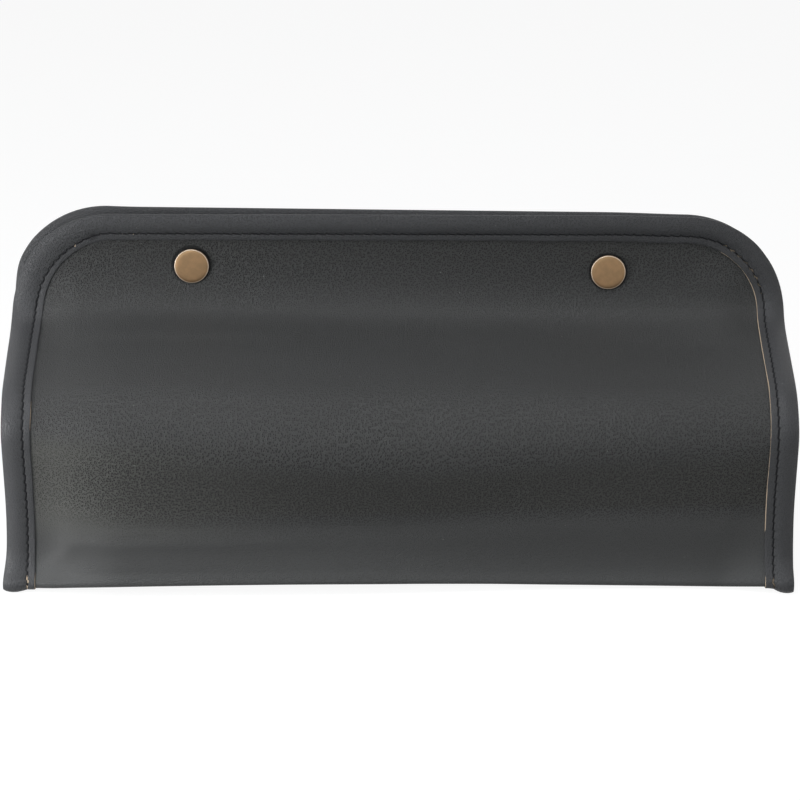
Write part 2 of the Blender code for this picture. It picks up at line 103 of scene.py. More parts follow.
def wobble(at, reach, seed):
    """A smooth, repeatable wandering between -1 and 1 that changes over about this reach."""
    values = np.random.default_rng(seed).uniform(-1, 1, WOBBLE_CELLS)
    place = np.asarray(at, float) / reach + WOBBLE_START
    cell = np.floor(place).astype(int)
    part = smooth_step(place - cell, 0, 1)
    return values[cell % WOBBLE_CELLS] * (1 - part) + values[(cell + 1) % WOBBLE_CELLS] * part


# ---------------------------------------------------------------- the sheet's side profile


def profile_runs(belly_drop, belly_radius, lift, depth, fold_radius):
    """(length, heading before, heading after) of each run, from the middle of the bottom to past the edge."""
    fold = np.array((fold_radius - depth / 2, FLOOR_LIFT + lift + fold_radius))
    belly = np.array((belly_radius - BELLY_DEPTH / 2, BELLY_HEIGHT - belly_drop))
    foot_reach = fold_radius + FOOT_RADIUS
    hollow_y = fold[0] + FOOT_RADIUS - foot_reach * math.cos(FOOT_LEAN)
    hollow_z = fold[1] + foot_reach * math.sin(FOOT_LEAN)
    lean_out = 2 * math.atan((hollow_y + BELLY_DEPTH / 2) / (belly[1] - hollow_z))
    wall_radius = (belly[1] - hollow_z) / math.sin(lean_out) - belly_radius
    heights = [height for _, height in SNAP_PLACES.values()]
    lip_start, lip_end = min(heights) - FLAT_BELOW_SNAPS, max(heights) + FLAT_ABOVE_SNAPS
    span = np.array((-LIP_OFFSET - PINCH_RADIUS, lip_start)) - belly
    radii = belly_radius + PINCH_RADIUS
    slope = math.atan2(span[1], span[0]) - math.asin(radii / np.linalg.norm(span))
    up = math.pi / 2
    flare = up + LIP_FLARE_ANGLE
    tip = (CASE_HEIGHT - lip_end - LIP_FLARE_RADIUS * math.sin(LIP_FLARE_ANGLE)) / math.cos(LIP_FLARE_ANGLE)
    headings = [math.pi, math.pi, up - FOOT_LEAN, up, up + lean_out, up, slope, slope, up, up, flare]
    turns = [abs(after - before) for before, after in zip(headings, headings[1:])]
    radius_of = [0, fold_radius, FOOT_RADIUS, wall_radius, belly_radius, belly_radius, 0, PINCH_RADIUS, 0]
    lengths = [radius * turn for radius, turn in zip(radius_of + [LIP_FLARE_RADIUS], turns)]
    lengths[0], lengths[6], lengths[8] = -fold[0], math.sqrt(span @ span - radii**2), lip_end - lip_start
    return [*zip(lengths, headings, headings[1:]), (tip, flare, flare), (PROFILE_PAST_EDGE, flare, flare)]


def walked(runs, counts, lift=0.0):
    """(y, z, length so far) along the front half's sheet middle, each run in as many steps as counts says."""
    heading = np.concatenate([np.linspace(a, b, n, endpoint=False) for (_, a, b), n in zip(runs, counts)])
    heading = np.append(heading, runs[-1][2])
    step = np.concatenate([np.full(n, length / n) for (length, _, _), n in zip(runs, counts)])
    middle = (heading[:-1] + heading[1:]) / 2
    moves = (step * np.cos(middle), step * np.sin(middle), step)
    y, rise, length = (np.append(0, np.cumsum(part)) for part in moves)
    return y, FLOOR_LIFT + lift + rise, length


def softened(values, reach):
    """The values with their sharp changes eased over a few samples, both ends kept."""
    taps = np.exp(-0.5 * (np.arange(-3 * reach, 3 * reach + 1) / reach) ** 2)
    margin = len(taps) // 2
    before = 2 * values[0] - values[margin:0:-1]
    after = 2 * values[-1] - values[-2 : -margin - 2 : -1]
    return np.convolve(np.concatenate([before, values, after]), taps / taps.sum(), mode="valid")


END_RUNS = profile_runs(0.0, BELLY_RADIUS, 0.0, BASE_DEPTH, BASE_FOLD_RADIUS)
COUNTS = [max(4, math.ceil(length / PROFILE_STEP)) for length, _, _ in END_RUNS]
END_Y, END_Z, ALONG = walked(END_RUNS, COUNTS)
FLAP_EDGE = ALONG[-1] - PROFILE_PAST_EDGE
BELLY = sum(length for length, _, _ in END_RUNS[:5])
FOLD_START = END_RUNS[0][0]
FOLD_END = FOLD_START + END_RUNS[1][0]
MIDDLE_LIFT = 2.1 * MM
MIDDLE_RUNS = profile_runs(6.5 * MM, 21 * MM, MIDDLE_LIFT, 122 * MM, 0.4 * MM)
MIDDLE_Y, MIDDLE_Z, _ = walked(MIDDLE_RUNS, COUNTS, MIDDLE_LIFT)
ON_FLAP = smooth_step(ALONG, BELLY, BELLY + 12 * MM)
ON_FOOT = eased(ALONG, FOLD_END, 8, 2)


def eased_line(line):
    """The profile's corners softened: hardly at the foot's fold, more on the wall, most on the flap."""
    on_wall = softened(line, 3) * (1 - ON_FLAP) + softened(line, 14) * ON_FLAP
    return softened(line, 1) * ON_FOOT + on_wall * (1 - ON_FOOT)


# For y and for z, the line at the bound ends and the line in the middle
SHAPES = [[eased_line(line) for line in pair] for pair in ((END_Y, MIDDLE_Y), (END_Z, MIDDLE_Z))]


def profile_at(share, along):
    """(y, z) of the plain profile there: share is 0 at the bound ends, and 1 where the sheet sags most."""
    lines = [[np.interp(along, ALONG, line) for line in pair] for pair in SHAPES]
    return np.array([(1 - share) * at_end + share * inside for at_end, inside in lines])


def along_at_height(height):
    """Where on the flap's outside the sheet reaches this height."""
    from_belly = ALONG >= BELLY
    return float(np.interp(height, END_Z[from_belly], ALONG[from_belly]))


def past_belly(*millimetres):
    """Places along the sheet, each this far past the belly's widest line."""
    return [BELLY + distance * MM for distance in millimetres]


def middle_share(across):
    """1 where the sheet bellies out lowest, in the middle, and little at the bound ends."""
    spread = 26 * MM
    span = math.hypot(HALF_WIDTH, spread) - spread
    peak = 1 - (np.sqrt(across**2 + spread**2) - spread) / span
    return np.clip(peak, 0, 1) + 0.28 * smooth_step(across, 0, HALF_WIDTH) * (1 - peak)


# Soft dents and swells of the front: (across, height, reach across, reach along, depth), all in millimetres
FRONT_DENTS = (
    (-10, 71, 13, 6, 0.12),
    (18, 78, 20, 7, 0.20),
    (88, 84, 22, 8, 0.30),
    (108, 79, 14, 8, 0.22),
    (-82, 79, 34, 6, 0.26),
    (-30, 80, 26, 6, 0.20),
    (-4, 64, 4, 5, -0.22),
    (-50, 66, 60, 6, -0.10),
    (60, 70, 50, 6, -0.12),
    (-110, 89, 26, 6, -0.22),
    (50, 91, 60, 6, -0.12),
)


def pillow(across, along):
    """The tissues push the left of the front out between its bound end and the middle, most on the wall."""
    marks = [FOLD_END, FOLD_END + 15 * MM, *past_belly(-28, -4, 14, 50, 78)]
    heights = np.array((0, 4.9, 5.4, 2.6, 3.2, 3.2, 0.2)) * MM
    return np.interp(along, marks, heights) * left_filling(across)


def left_filling(across):
    """1 where the tissues fill the left of the front out, easing off to its bound end and to the right."""
    return eased(across, -HALF_WIDTH, 5, 42) * eased(across, 0, 62, -94)


def upright_foot(across):
    """Towards the right the wall's foot is tucked in, and stands more upright."""
    return eased(across, 0, -24, 80) * eased(across, HALF_WIDTH, -9, -26)


def foot_crease(across, along):
    """A short soft ridge that runs up and in from the left foot, where the sheet is pulled to its corner."""
    from_side, from_fold = across + HALF_WIDTH - 11 * MM, along - FOLD_END - 3 * MM
    cosine, sine = math.cos(math.radians(42)), math.sin(math.radians(42))
    on_line = from_side * cosine + from_fold * sine
    off_line = from_fold * cosine - from_side * sine
    return hump(off_line, 0, 3.6 * MM) * eased(on_line, 0, -4, 3) * eased(on_line, 0, 26, 8)


def front_form(across, along):
    """How far the front alone stands out: its dents and swells, the tissues' push, the pull on its flap."""
    form = pillow(across, along) + 0.45 * MM * foot_crease(across, along)
    for x, height, wide, tall, depth in np.array(FRONT_DENTS) * MM:
        form = form - depth * hump(across, x, wide) * hump(along, along_at_height(height), tall)
    on_wall = eased(along, FOLD_END, 1, 25)
    form += 0.9 * MM * upright_foot(across) * on_wall * eased(along, BELLY, 2, -22)
    on_right = eased(across, 0, 130, 92) * eased(across, 0, 20, 90)
    form -= 0.9 * MM * on_right * eased(along, BELLY, 6, 24)
    marks = np.array((-138.5, -80, -20, 40, 100, 138.5)) * MM
    forward = np.interp(across, marks, np.array((2.2, 1.0, 0.2, 0.3, 1.8, 2.8)) * MM)
    form += forward * eased(along, BELLY, 44, 64)
    return form - 0.5 * MM * hump(along, BELLY + 22 * MM, 9 * MM) * hump(across, -26 * MM, 56 * MM)


def swell(side, across, along):
    """How far the soft sheet stands out from its plain profile there."""
    inside = eased(np.abs(across), HALF_WIDTH, -9, -24)
    off_bottom = smooth_step(along, FOLD_START - 8 * MM, FOLD_END)
    off_edge = eased(along, FLAP_EDGE, -12, -28)
    seed = 3 if side == FRONT else 40
    rise = 0.16 * MM * wobble(across + 1.7 * along, 46 * MM, seed)
    rise += 0.10 * MM * wobble(along - 0.3 * across, 21 * MM, seed + 1)
    rise += 0.07 * MM * wobble(0.8 * across - along, 17 * MM, seed + 2) * wobble(across, 60 * MM, seed + 3)
    if side == FRONT:
        rise += front_form(across, along)
    pressed = 0.0
    for x, height in SNAP_PLACES.values():
        from_snap = np.hypot(across - x, along - along_at_height(height))
        pressed = pressed + 0.28 * MM * hump(from_snap, 0, 8.5 * MM)
    sag = 0.45 * MM + 0.45 * MM * np.abs(across) / HALF_WIDTH
    on_bottom = eased(along, FOLD_START, -3, -26)
    return rise * inside * off_bottom * off_edge - pressed + sag * inside * on_bottom


def lying(side, across, along, out=0.0):
    """World points for places on the sheet, with the way this soft case has settled."""
    across, along, out = np.broadcast_arrays(*(np.asarray(value, float) for value in (across, along, out)))
    share = middle_share(across)
    y, z = profile_at(share, along)
    tangent_y, tangent_z = profile_at(share, along + PROFILE_STEP) - profile_at(share, along - PROFILE_STEP)
    length = np.hypot(tangent_y, tangent_z)
    out = out + swell(side, across, along)
    y = y - out * tangent_z / length
    z = z + out * tangent_y / length
    if side == FRONT:
        on_bottom = np.minimum(along / FOLD_START, 1)
        tucked = 3.4 * MM * upright_foot(across) * eased(along, FOLD_END, 26, -2)
        pushed = 4.4 * MM * left_filling(across) * eased(along, FOLD_END, 26, 1)
        flared = 0.5 * MM * eased(along, FOLD_END, 3.4, -0.3)
        flared = flared * eased(np.abs(across), HALF_WIDTH, -9, -18)
        flared = flared * eased(across, 0, 90, 20)
        y = y + (tucked - pushed - flared) * on_bottom
        z = z + (0.32 * pushed - 0.38 * tucked) * on_bottom**4
    return np.stack([across + drawn_in(side, across, along, z), -side * y, np.maximum(z, 0)], axis=-1)


def drawn_in(side, across, along, height):
    """Sideways shift of the bound ends: the hollow wall draws them in, and the flaps lie a little apart."""
    end = smooth_step(np.abs(across), HALF_WIDTH - 70 * MM, HALF_WIDTH)
    left = smooth_step(-across, HALF_WIDTH - 90 * MM, HALF_WIDTH)
    shift = -np.sign(across) * 0.35 * MM * hump(height, 28 * MM, 15 * MM) * end
    shift = shift - 1.45 * MM * left * eased(height, 0, 64, 86)
    if side == BACK:
        shift = shift - 1.3 * MM * left * eased(height, 0, 94, 108)
    else:
        shift = shift + 0.7 * MM * left * eased(height, 0, 84, 102)
    under = hump(along, FOLD_START + 2 * MM, 8 * MM)
    return shift - 1.2 * MM * eased(-across, HALF_WIDTH, -9, -2) * under


def edge_rise(side, across):
    """How far the flap's top edge stands above the plain one there."""
    right_drop = 0.55 * MM * eased(across, 0, 74, 106)
    if side == BACK:
        left_rise = 0.5 * MM * eased(-across, 0, 92, 118)
        return left_rise - right_drop - 0.05 * MM - 0.0115 * across
    return 0.35 * MM - 0.003 * across - right_drop


def cut_place(side, across, along):
    """The flap's outline is cut and sewn a little unevenly: shifts a place along the sheet to match."""
    return along + edge_rise(side, across) * smooth_step(along, BELLY + 20 * MM, FLAP_EDGE - 10 * MM)


# ---------------------------------------------------------------- meshes


def new_object(name, data):
    """An object in the scene, at the origin."""
    made = bpy.data.objects.new(name, data)
    bpy.context.scene.collection.objects.link(made)
    return made


def worked_mesh(thing):
    """A plain mesh of what this object is with its modifiers."""
    return bpy.data.meshes.new_from_object(thing.evaluated_get(bpy.context.evaluated_depsgraph_get()))


def point_layer(mesh, name, values, kind="FLOAT"):
    """Stores a value or a vector for each point of the mesh."""
    layer = mesh.attributes.new(name, kind, "POINT")
    field = "vector" if kind == "FLOAT_VECTOR" else "value"
    layer.data.foreach_set(field, np.asarray(values, np.float32).ravel())


def mesh_object(name, points, faces, materials, cut=None, kinds=None, merge=0.0, facing=None, **values):
    """A mesh with its place on the flat hide in "cut", and any other named value for each point.

    Kinds says which material each face has. Points closer than merge are joined, and an open mesh is turned
    to face the way it is told.
    """
    mesh = bpy.data.meshes.new(name)
    mesh.from_pydata(np.reshape(points, (-1, 3)).tolist(), [], faces)
    if cut is not None:
        point_layer(mesh, "cut", cut, "FLOAT_VECTOR")
    for title, value in values.items():
        point_layer(mesh, title, value)
    for finish in materials:
        mesh.materials.append(finish)
    if kinds is not None:
        mesh.polygons.foreach_set("material_index", np.asarray(kinds, np.int32))
    shape = bmesh.new()
    shape.from_mesh(mesh)
    if merge:
        bmesh.ops.remove_doubles(shape, verts=shape.verts, dist=merge)
    bmesh.ops.recalc_face_normals(shape, faces=shape.faces)
    if facing and sum(face.normal.dot(facing) * face.calc_area() for face in shape.faces) < 0:
        bmesh.ops.reverse_faces(shape, faces=shape.faces)
    shape.to_mesh(mesh)
    shape.free()
    mesh.shade_smooth()
    return new_object(name, mesh)


def ring_faces(rows, columns, first=0, wrap=True):
    """Quads between rows of points, each row closed into a ring if wrap is set."""
    index = first + np.arange(rows * columns).reshape(rows, columns)
    following = np.roll(index, -1, axis=1)
    quads = np.stack([index[:-1], following[:-1], following[1:], index[1:]], axis=-1)
    return (quads if wrap else quads[:, :-1]).reshape(-1, 4).tolist()


def tube_object(name, rings, cut, finish, **values):
    """A closed body through rings of points, its ends filled."""
    rows, columns = rings.shape[:2]
    ends = [list(range(columns)), list(range((rows - 1) * columns, rows * columns))]
    return mesh_object(name, rings, ring_faces(rows, columns) + ends, [finish], cut, **values)


def grid(*parts):
    """Points from their parts, each a plain value or an array over rows, columns or both."""
    return np.stack(np.broadcast_arrays(*parts), axis=-1)


# ---------------------------------------------------------------- the sheet


def outline_half(along, inset):
    """Half the sheet's width there, less the inset, with the flap's round corner."""
    radius = FLAP_CORNER_RADIUS - inset
    share = np.clip((along - FLAP_EDGE + FLAP_CORNER_RADIUS) / radius, 0, 1)
    return HALF_WIDTH - inset - radius * (1 - np.sqrt(np.maximum(0, 1 - share**2)))


def sheet_alongs(inset):
    """Rows from the middle of the bottom to the flap's edge, closer together where the sheet bends."""
    radius = FLAP_CORNER_RADIUS - inset
    corner_start = FLAP_EDGE - inset - radius
    stops = [0, FOLD_START - 3 * MM, FOLD_END + 8 * MM, *past_belly(-14, 36), corner_start]
    body = [np.linspace(a, b, n)[:-1] for a, b, n in zip(stops, stops[1:], SHEET_ROWS)]
    return np.concatenate([*body, corner_start + radius * np.sin(np.linspace(0, math.pi / 2, CORNER_ROWS))])


def grain_depth(across, along):
    """How deep the grain stands: nearly flat at the foot and over the shoulder, deepest under the belly. The
    same depth sets the painted shade in the grain's pits and the warmer painted shade tint.
    """
    marks = [0, FOLD_END, FOLD_END + 8 * MM, *past_belly(-33, -24, -12, 2, 20, 66, 86), FLAP_EDGE]
    depth = np.interp(along, marks, [1.0, 0.8, 0.9, 1.4, 3.8, 4.2, 2.2, 1.8, 1.4, 2.9, 3.1])
    low_right = eased(across, 0, -20, 90) * eased(along, BELLY, -22, -34)
    left_wall = eased(-across, 0, 84, 126) * eased(along, BELLY, 8, -4)
    return depth * (1 - 0.35 * low_right) * (1 - 0.55 * left_wall)


def worn_paler(side, across, along):
    """Where painted light makes the left end of the front wall's belt lighter."""
    belt = eased(along, FOLD_END, 12, 32) * eased(along, BELLY, 4, -5)
    return (side == FRONT) * belt * eased(-across, 0, 30, 118)


def cover_sheet(side, leather, knit):
    """Half of the folded sheet: half the bottom, the wall and the flap, leather outside and knit inside."""
    alongs = sheet_alongs(SHEET_INSET)
    widest = 0.72 * math.pi / 2
    shares = np.sin(np.linspace(-widest, widest, SHEET_COLUMNS)) / math.sin(widest)
    across = outline_half(alongs, SHEET_INSET)[:, None] * shares
    along = np.broadcast_to(alongs[:, None], across.shape)
    placed_along = cut_place(side, across, along)
    points = np.stack([lying(side, across, placed_along, out) for out in (HALF_SHEET, -HALF_SHEET)])
    rows, columns = across.shape
    index = np.arange(rows * columns).reshape(rows, columns)
    inside = rows * columns
    faces = ring_faces(rows, columns, wrap=False) + ring_faces(rows, columns, first=inside, wrap=False)
    leather_faces = len(faces) // 2
    rim = np.concatenate([index[:, 0], index[-1, 1:], index[-2::-1, -1], index[0, -2:0:-1]]).tolist()
    faces += [(a, b, b + inside, a + inside) for a, b in zip(rim, rim[1:] + rim[:1])]
    kinds = np.arange(len(faces)) >= leather_faces
    name = "front_cover_sheet" if side == FRONT else "back_cover_sheet"
    # Each point's hide place, grain depth, and share of painted light on the left of the front wall.
    cut, depth, paler = (
        np.stack([value, value])
        for value in (grid(across, along, 0.0), grain_depth(across, along), worn_paler(side, across, along))
    )
    return mesh_object(name, points, faces, [leather, knit], cut, kinds, depth=depth, paler=paler)


# ---------------------------------------------------------------- the binding


class EdgePath:
    """The sheet's edge from the middle of the bottom up one end, over the flap and down the other end."""

    def __init__(self, step):
        corner = math.pi / 2 * FLAP_CORNER_RADIUS
        straight = FLAP_EDGE - FLAP_CORNER_RADIUS
        top = CASE_WIDTH - 2 * FLAP_CORNER_RADIUS
        self.length = 2 * straight + 2 * corner + top
        self.travel = travel = np.linspace(0, self.length, int(round(self.length / step)) + 1)
        marks = np.cumsum([0, straight, corner, top, corner, straight])
        angle = np.interp(travel, marks, [0, 0, math.pi / 2, math.pi / 2, math.pi, math.pi])
        along_top = np.interp(travel, marks[2:4], [-top / 2, top / 2])
        self.across = along_top - FLAP_CORNER_RADIUS * np.cos(angle)
        climb = np.minimum(travel, straight) - np.maximum(0, travel - marks[4])
        self.along = FLAP_CORNER_RADIUS * np.sin(angle) + climb
        self.inward = np.stack([np.cos(angle), -np.sin(angle)])
        self.corner_share = hump(angle, math.pi / 4, 0.75) + hump(angle, math.pi * 3 / 4, 0.75)

    def place(self, inset):
        """(across, along) this far in from the edge."""
        return self.across + inset * self.inward[0], self.along + inset * self.inward[1]


# How the strip rolls round the edge, outside and inside: (turn in degrees, millimetres in from the edge)
ROLL_OUTSIDE = ((0, 4.6), (16, 3.6), (30, 2.75), (43, 2.0), (55, 1.38), (66, 0.86), (76, 0.45), (85, 0.13))
ROLL_INSIDE = ((2, 0.0), (20, 0.12), (40, 0.55), (58, 1.2), (74, 2.1), (90, 3.3))


def strip_section(inside_shift, seam, raw_edge, roll, groove, scallop, lift, bared, hole, tuck, fleck):
    """(inset, out, bare, sewn) at each point of the strip's section: plain values or arrays over the path.
    Sewn is the share of painted shade in the seam's groove, at its stitch holes and in the tuck.
    """
    face = HALF_SHEET + 0.05 * MM
    margin = face + 0.42 * MM
    crest = margin + 0.50 * MM * roll
    # The fourth value is painted shade: it darkens the groove, the edges of the stitch holes and the tuck's
    # crease.
    outside = [
        (raw_edge + 0.08 * MM * bared, face + 0.02 * MM + 0.4 * lift, bared, 0),
        (raw_edge - 0.04 * MM * bared, face + 0.22 * MM + lift, bared, 0),
        (raw_edge - 0.14 * MM - 0.14 * MM * bared, face + 0.34 * MM + lift, 0, 0),
        (raw_edge - 0.7 * MM, margin - 0.02 * MM + 0.5 * lift, 0, 0),
        (seam + 0.62 * MM, margin - 0.2 * MM * tuck, 0, 0.8 * tuck),
        (seam + 0.30 * MM, margin - 0.03 * MM, 0, np.maximum(0.5 * hole, tuck)),
        (seam + 0.13 * MM, margin - 0.8 * groove, fleck, 1 - fleck),
        (seam - 0.05 * MM, margin - groove, fleck, 1 - fleck),
        (seam - 0.18 * MM - 0.4 * scallop, margin - 0.8 * groove, 0, 1),
        (seam - 0.38 * MM - scallop, margin + 0.02 * MM, 0, np.maximum(0.8 * hole, tuck)),
        (seam - 0.80 * MM - 0.5 * scallop, margin + 0.15 * MM * roll - 0.25 * MM * tuck, 0, 0.7 * tuck),
        (0.5 * (seam + 4.6 * MM) - 0.4 * MM, margin + 0.36 * MM * roll, 0, 0),
    ]
    outside += [(inset * MM, crest * math.cos(math.radians(turn)), 0, 0) for turn, inset in ROLL_OUTSIDE]
    inner = -(HALF_SHEET + SEAT_GAP + BINDING_THICKNESS) - inside_shift
    bulge = inner - 0.42 * MM * roll
    inside = [(inset * MM, bulge * math.sin(math.radians(turn)), 0, 0) for turn, inset in ROLL_INSIDE]
    inside += [
        (5.2 * MM, inner - 0.26 * MM * roll, 0, 0),
        (STITCH_INSET - 0.45 * MM, inner - 0.05 * MM, 0, 0),
        (STITCH_INSET - 0.15 * MM, inner + 0.7 * groove, 0, 1),
        (STITCH_INSET + 0.15 * MM, inner + 0.7 * groove, 0, 1),
        (STITCH_INSET + 0.40 * MM, inner + 0.05 * MM, 0, 0),
        (RAW_EDGE_INSIDE + 0.05 * MM, inner + 0.1 * MM, 0, 0),
        (RAW_EDGE_INSIDE + 0.15 * MM, inner + 0.7 * MM, 0.6, 0),
    ]
    bottom = SHEET_INSET - SEAT_GAP
    slot = [(bottom, -(HALF_SHEET + SEAT_GAP) - inside_shift, 0.6, 0), (bottom, HALF_SHEET + 0.01 * MM, 0, 0)]
    return outside + inside + slot


def seam_shift(side, path):
    """How much further in the front's seam and cut edge run on the left, where the strip is laid wider."""
    left = (side == FRONT) * (path.across < 0)
    wider = np.interp(path.along, past_belly(0, 24, 54, 70), np.array((0.5, 0.6, 1.0, 1.5)) * MM)
    seam = left * wider * eased(path.across, -HALF_WIDTH, 34, 12)
    narrower = 0.6 * MM * hump(path.across, -HALF_WIDTH + 13 * MM, 9 * MM) * (path.along > BELLY + 40 * MM)
    return seam, seam - left * narrower


def seam_walk(side, path):
    """The seam's own length so far at each place of the path, and its inset before the needle's zigzag."""
    inset = STITCH_INSET + seam_shift(side, path)[0]
    across, along = path.place(inset)
    steps = np.hypot(np.diff(across), np.diff(along))
    return np.append(0, np.cumsum(steps)), inset


def holding_panel(along):
    """1 on the bottom and the wall, where the strip also covers an end panel's margin, and 0 on the flap."""
    return eased(along, BELLY, 6, -5)


def raw_edge_bareness(side, path):
    """Where the strip's cut edge shows its pale backing, from 0 to 1, seen along the path."""
    travel, across, along = path.travel, path.across, path.along
    ragged = smooth_step(wobble(travel, 9 * MM, 71), -0.75, 0.05)
    if side == BACK:
        return 0.5 * smooth_step(wobble(travel, 30 * MM, 77), 0.35, 0.6) * ragged
    right = eased(along, FOLD_END, 18, 21)
    right = right * eased(HALF_WIDTH - across, 0, 22, 17)
    right = right * np.where(along > FLAP_EDGE - 20 * MM, 0.75, 1.0) * np.maximum(ragged, 0.75)
    right = right * (1 - 0.55 * hump(along, along_at_height(62 * MM) - 6 * MM, 12 * MM))
    right_foot = 0.7 * hump(along, FOLD_START + 2 * MM, 3 * MM)
    left = 0.8 * hump(along, along_at_height(63.5 * MM), 8 * MM)
    left_foot = hump(along, FOLD_END + 0.5 * MM, 4 * MM)
    return np.clip(np.where(across > 0, right + right_foot * ragged, (left + left_foot) * ragged), 0, 1)


# Across: where the front strip is gathered into a tuck, its crease darkened with painted shade, and where
# bits of pale lint catch in its seam
TUCK_AT = -111.4 * MM
FLECKS_AT = (-120.2 * MM, -99.0 * MM, -95.4 * MM)


def binding_strip(side, finish):
    """The folded strip sewn round one half of the sheet, puckered by its stitches, with its two cut edges."""
    path = EdgePath(STITCH_PITCH / PLACES_PER_STITCH)
    travel = path.travel
    seed = 11 if side == FRONT else 23
    roll = 1 + 0.13 * wobble(travel, 24 * MM, seed) + 0.05 * wobble(travel, 7 * MM, seed + 1)
    sewn_length, seam = seam_walk(side, path)
    stitch = sewn_length / STITCH_PITCH
    pull = np.cos(2 * math.pi * stitch)
    seam = seam + NEEDLE_ZIGZAG * (2 * (stitch % 1) - 1) + 0.05 * MM * wobble(travel, 6 * MM, seed + 7)
    groove = 0.29 * MM + 0.05 * MM * pull + 0.03 * MM * wobble(travel, 5 * MM, seed + 2)
    scallop = 0.05 * MM * (1 - pull) + 0.05 * MM * wobble(travel, 4 * MM, seed + 6)
    raw_edge = RAW_EDGE_OUTSIDE + seam_shift(side, path)[1]
    raw_edge += 0.28 * MM * wobble(travel, 31 * MM, seed + 3) + 0.07 * MM * wobble(travel, 6 * MM, seed + 4)
    bared = raw_edge_bareness(side, path)
    front_top = (side == FRONT) * (path.along > BELLY + 40 * MM)
    # The tuck's crease and the stitch holes below get painted shade through the sewn share.
    tuck = np.clip(1.3 * hump(path.across, TUCK_AT, 1.5 * MM), 0, 1) * front_top
    fleck = sum(hump(path.across, at, 0.35 * MM) for at in FLECKS_AT) * front_top
    groove = groove * (1 - 0.9 * np.clip(fleck, 0, 1)) + 0.1 * MM * tuck
    lift = 0.14 * MM * smooth_step(wobble(travel, 19 * MM, seed + 5), -0.1, 0.8) + 0.12 * MM * bared
    inside_shift = holding_panel(path.along) * (SEAT_GAP + END_PANEL_THICKNESS)
    hole = np.maximum(0, pull) ** 2
    made = strip_section(inside_shift, seam, raw_edge, roll, groove, scallop, lift, bared, hole, tuck, fleck)
    section = np.array([np.broadcast_arrays(*point, travel)[:4] for point in made], float)
    inset, out, bare, sewn = section.swapaxes(0, 1)
    girth = np.append(0, np.cumsum(np.hypot(np.diff(inset, axis=0), np.diff(out, axis=0)).mean(axis=1)))
    pucker = -0.04 * MM * pull * (0.5 + 1.2 * np.clip(path.corner_share, 0, 1))
    creased = pucker * hump(inset, 5.6 * MM, 1.8 * MM) * (out > 0)
    at_fold = hump(path.along, 0.5 * (FOLD_START + FOLD_END), 3.5 * MM)
    out = np.where(out < 0, out * (1 - 0.7 * at_fold), out)
    out = out + creased + base_bulge(path, inset, out)
    across, along = path.place(inset)
    rings = lying(side, across, cut_place(side, across, along), out)
    on_top = eased(path.along, FLAP_EDGE, -34, -16)
    depth = np.broadcast_to(1.1 + 0.9 * on_top, inset.shape)
    name = "front_binding" if side == FRONT else "back_binding"
    cut = grid(travel, girth[:, None], 0.0).swapaxes(0, 1)
    return tube_object(name, rings.swapaxes(0, 1), cut, finish, bare=bare.T, sewn=sewn.T, depth=depth.T)


def base_bulge(path, inset, out):
    """The roll fattens where it turns under the case, most at the right end."""
    on_roll = np.clip(1 - inset / (8.5 * MM), 0, 1) * (out > 0)
    amount = np.where(path.across > 0, 2.3 * MM, 0.8 * MM)
    return amount * hump(path.along, FOLD_START + 1.5 * MM, 6 * MM) * on_roll


# ---------------------------------------------------------------- node trees


class Wiring:
    """A node tree to build in: values, colours and other nodes' sockets go in, and sockets come out."""

    def __init__(self, tree):
        self.tree = tree

    def fill(self, node, inputs):
        """Sets a node's inputs, or links those whose value is another node's socket."""
        for key, value in inputs.items():
            socket = node.inputs[key]
            if isinstance(value, bpy.types.NodeSocket):
                self.tree.links.new(value, socket)
            else:
                socket.default_value = (*value, 1) if socket.type == "RGBA" else value

    def add(self, kind, inputs=None, **settings):
        """The outputs of a new node of this kind."""
        made = self.tree.nodes.new(kind)
        for key, value in settings.items():
            setattr(made, key, value)
        self.fill(made, inputs or {})
        return made.outputs

    def use(self, node_group, inputs):
        """The outputs of a node group used here."""
        return self.add("ShaderNodeGroup", inputs, node_tree=node_group)

    def maths(self, operation, *values, clamp=False):
        """One sum of numbers."""
        return self.add("ShaderNodeMath", dict(enumerate(values)), operation=operation, use_clamp=clamp)[0]

    def vectors(self, operation, *values):
        """The outputs of one sum of vectors."""
        return self.add("ShaderNodeVectorMath", dict(enumerate(values)), operation=operation)

    def times(self, value, factor, *plus, clamp=False):
        """A product, with another number added if given."""
        return self.maths("MULTIPLY_ADD" if plus else "MULTIPLY", value, factor, *plus, clamp=clamp)

    def ranged(self, value, low, high, to_low=0.0, to_high=1.0):
        """The value's way from low to high, eased."""
        inputs = {"Value": value, "From Min": low, "From Max": high, "To Min": to_low, "To Max": to_high}
        return self.add("ShaderNodeMapRange", inputs, interpolation_type="SMOOTHSTEP")["Result"]

    def mix(self, share, first, second):
        """A colour between two."""
        return self.add("ShaderNodeMix", {0: share, 6: first, 7: second}, data_type="RGBA")[2]

    def noise(self, place, scale, detail, roughness=0.5):
        """The outputs of a cloudy pattern."""
        inputs = {"Vector": place, "Scale": scale, "Detail": detail, "Roughness": roughness}
        return self.add("ShaderNodeTexNoise", inputs)

    def cells(self, place, scale, randomness, feature="F1"):
        """The outputs of a flat pattern of cells."""
        inputs = {"Vector": place, "Scale": scale, "Randomness": randomness}
        return self.add("ShaderNodeTexVoronoi", inputs, voronoi_dimensions="2D", feature=feature)

    def attribute(self, name, output="Fac"):
        """What the mesh says under this name."""
        return self.add("ShaderNodeAttribute", attribute_name=name)[output]

    def bump(self, height, strength, distance):
        """The facing that this relief gives."""
        inputs = {"Height": height, "Strength": strength, "Distance": distance}
        return self.add("ShaderNodeBump", inputs)["Normal"]


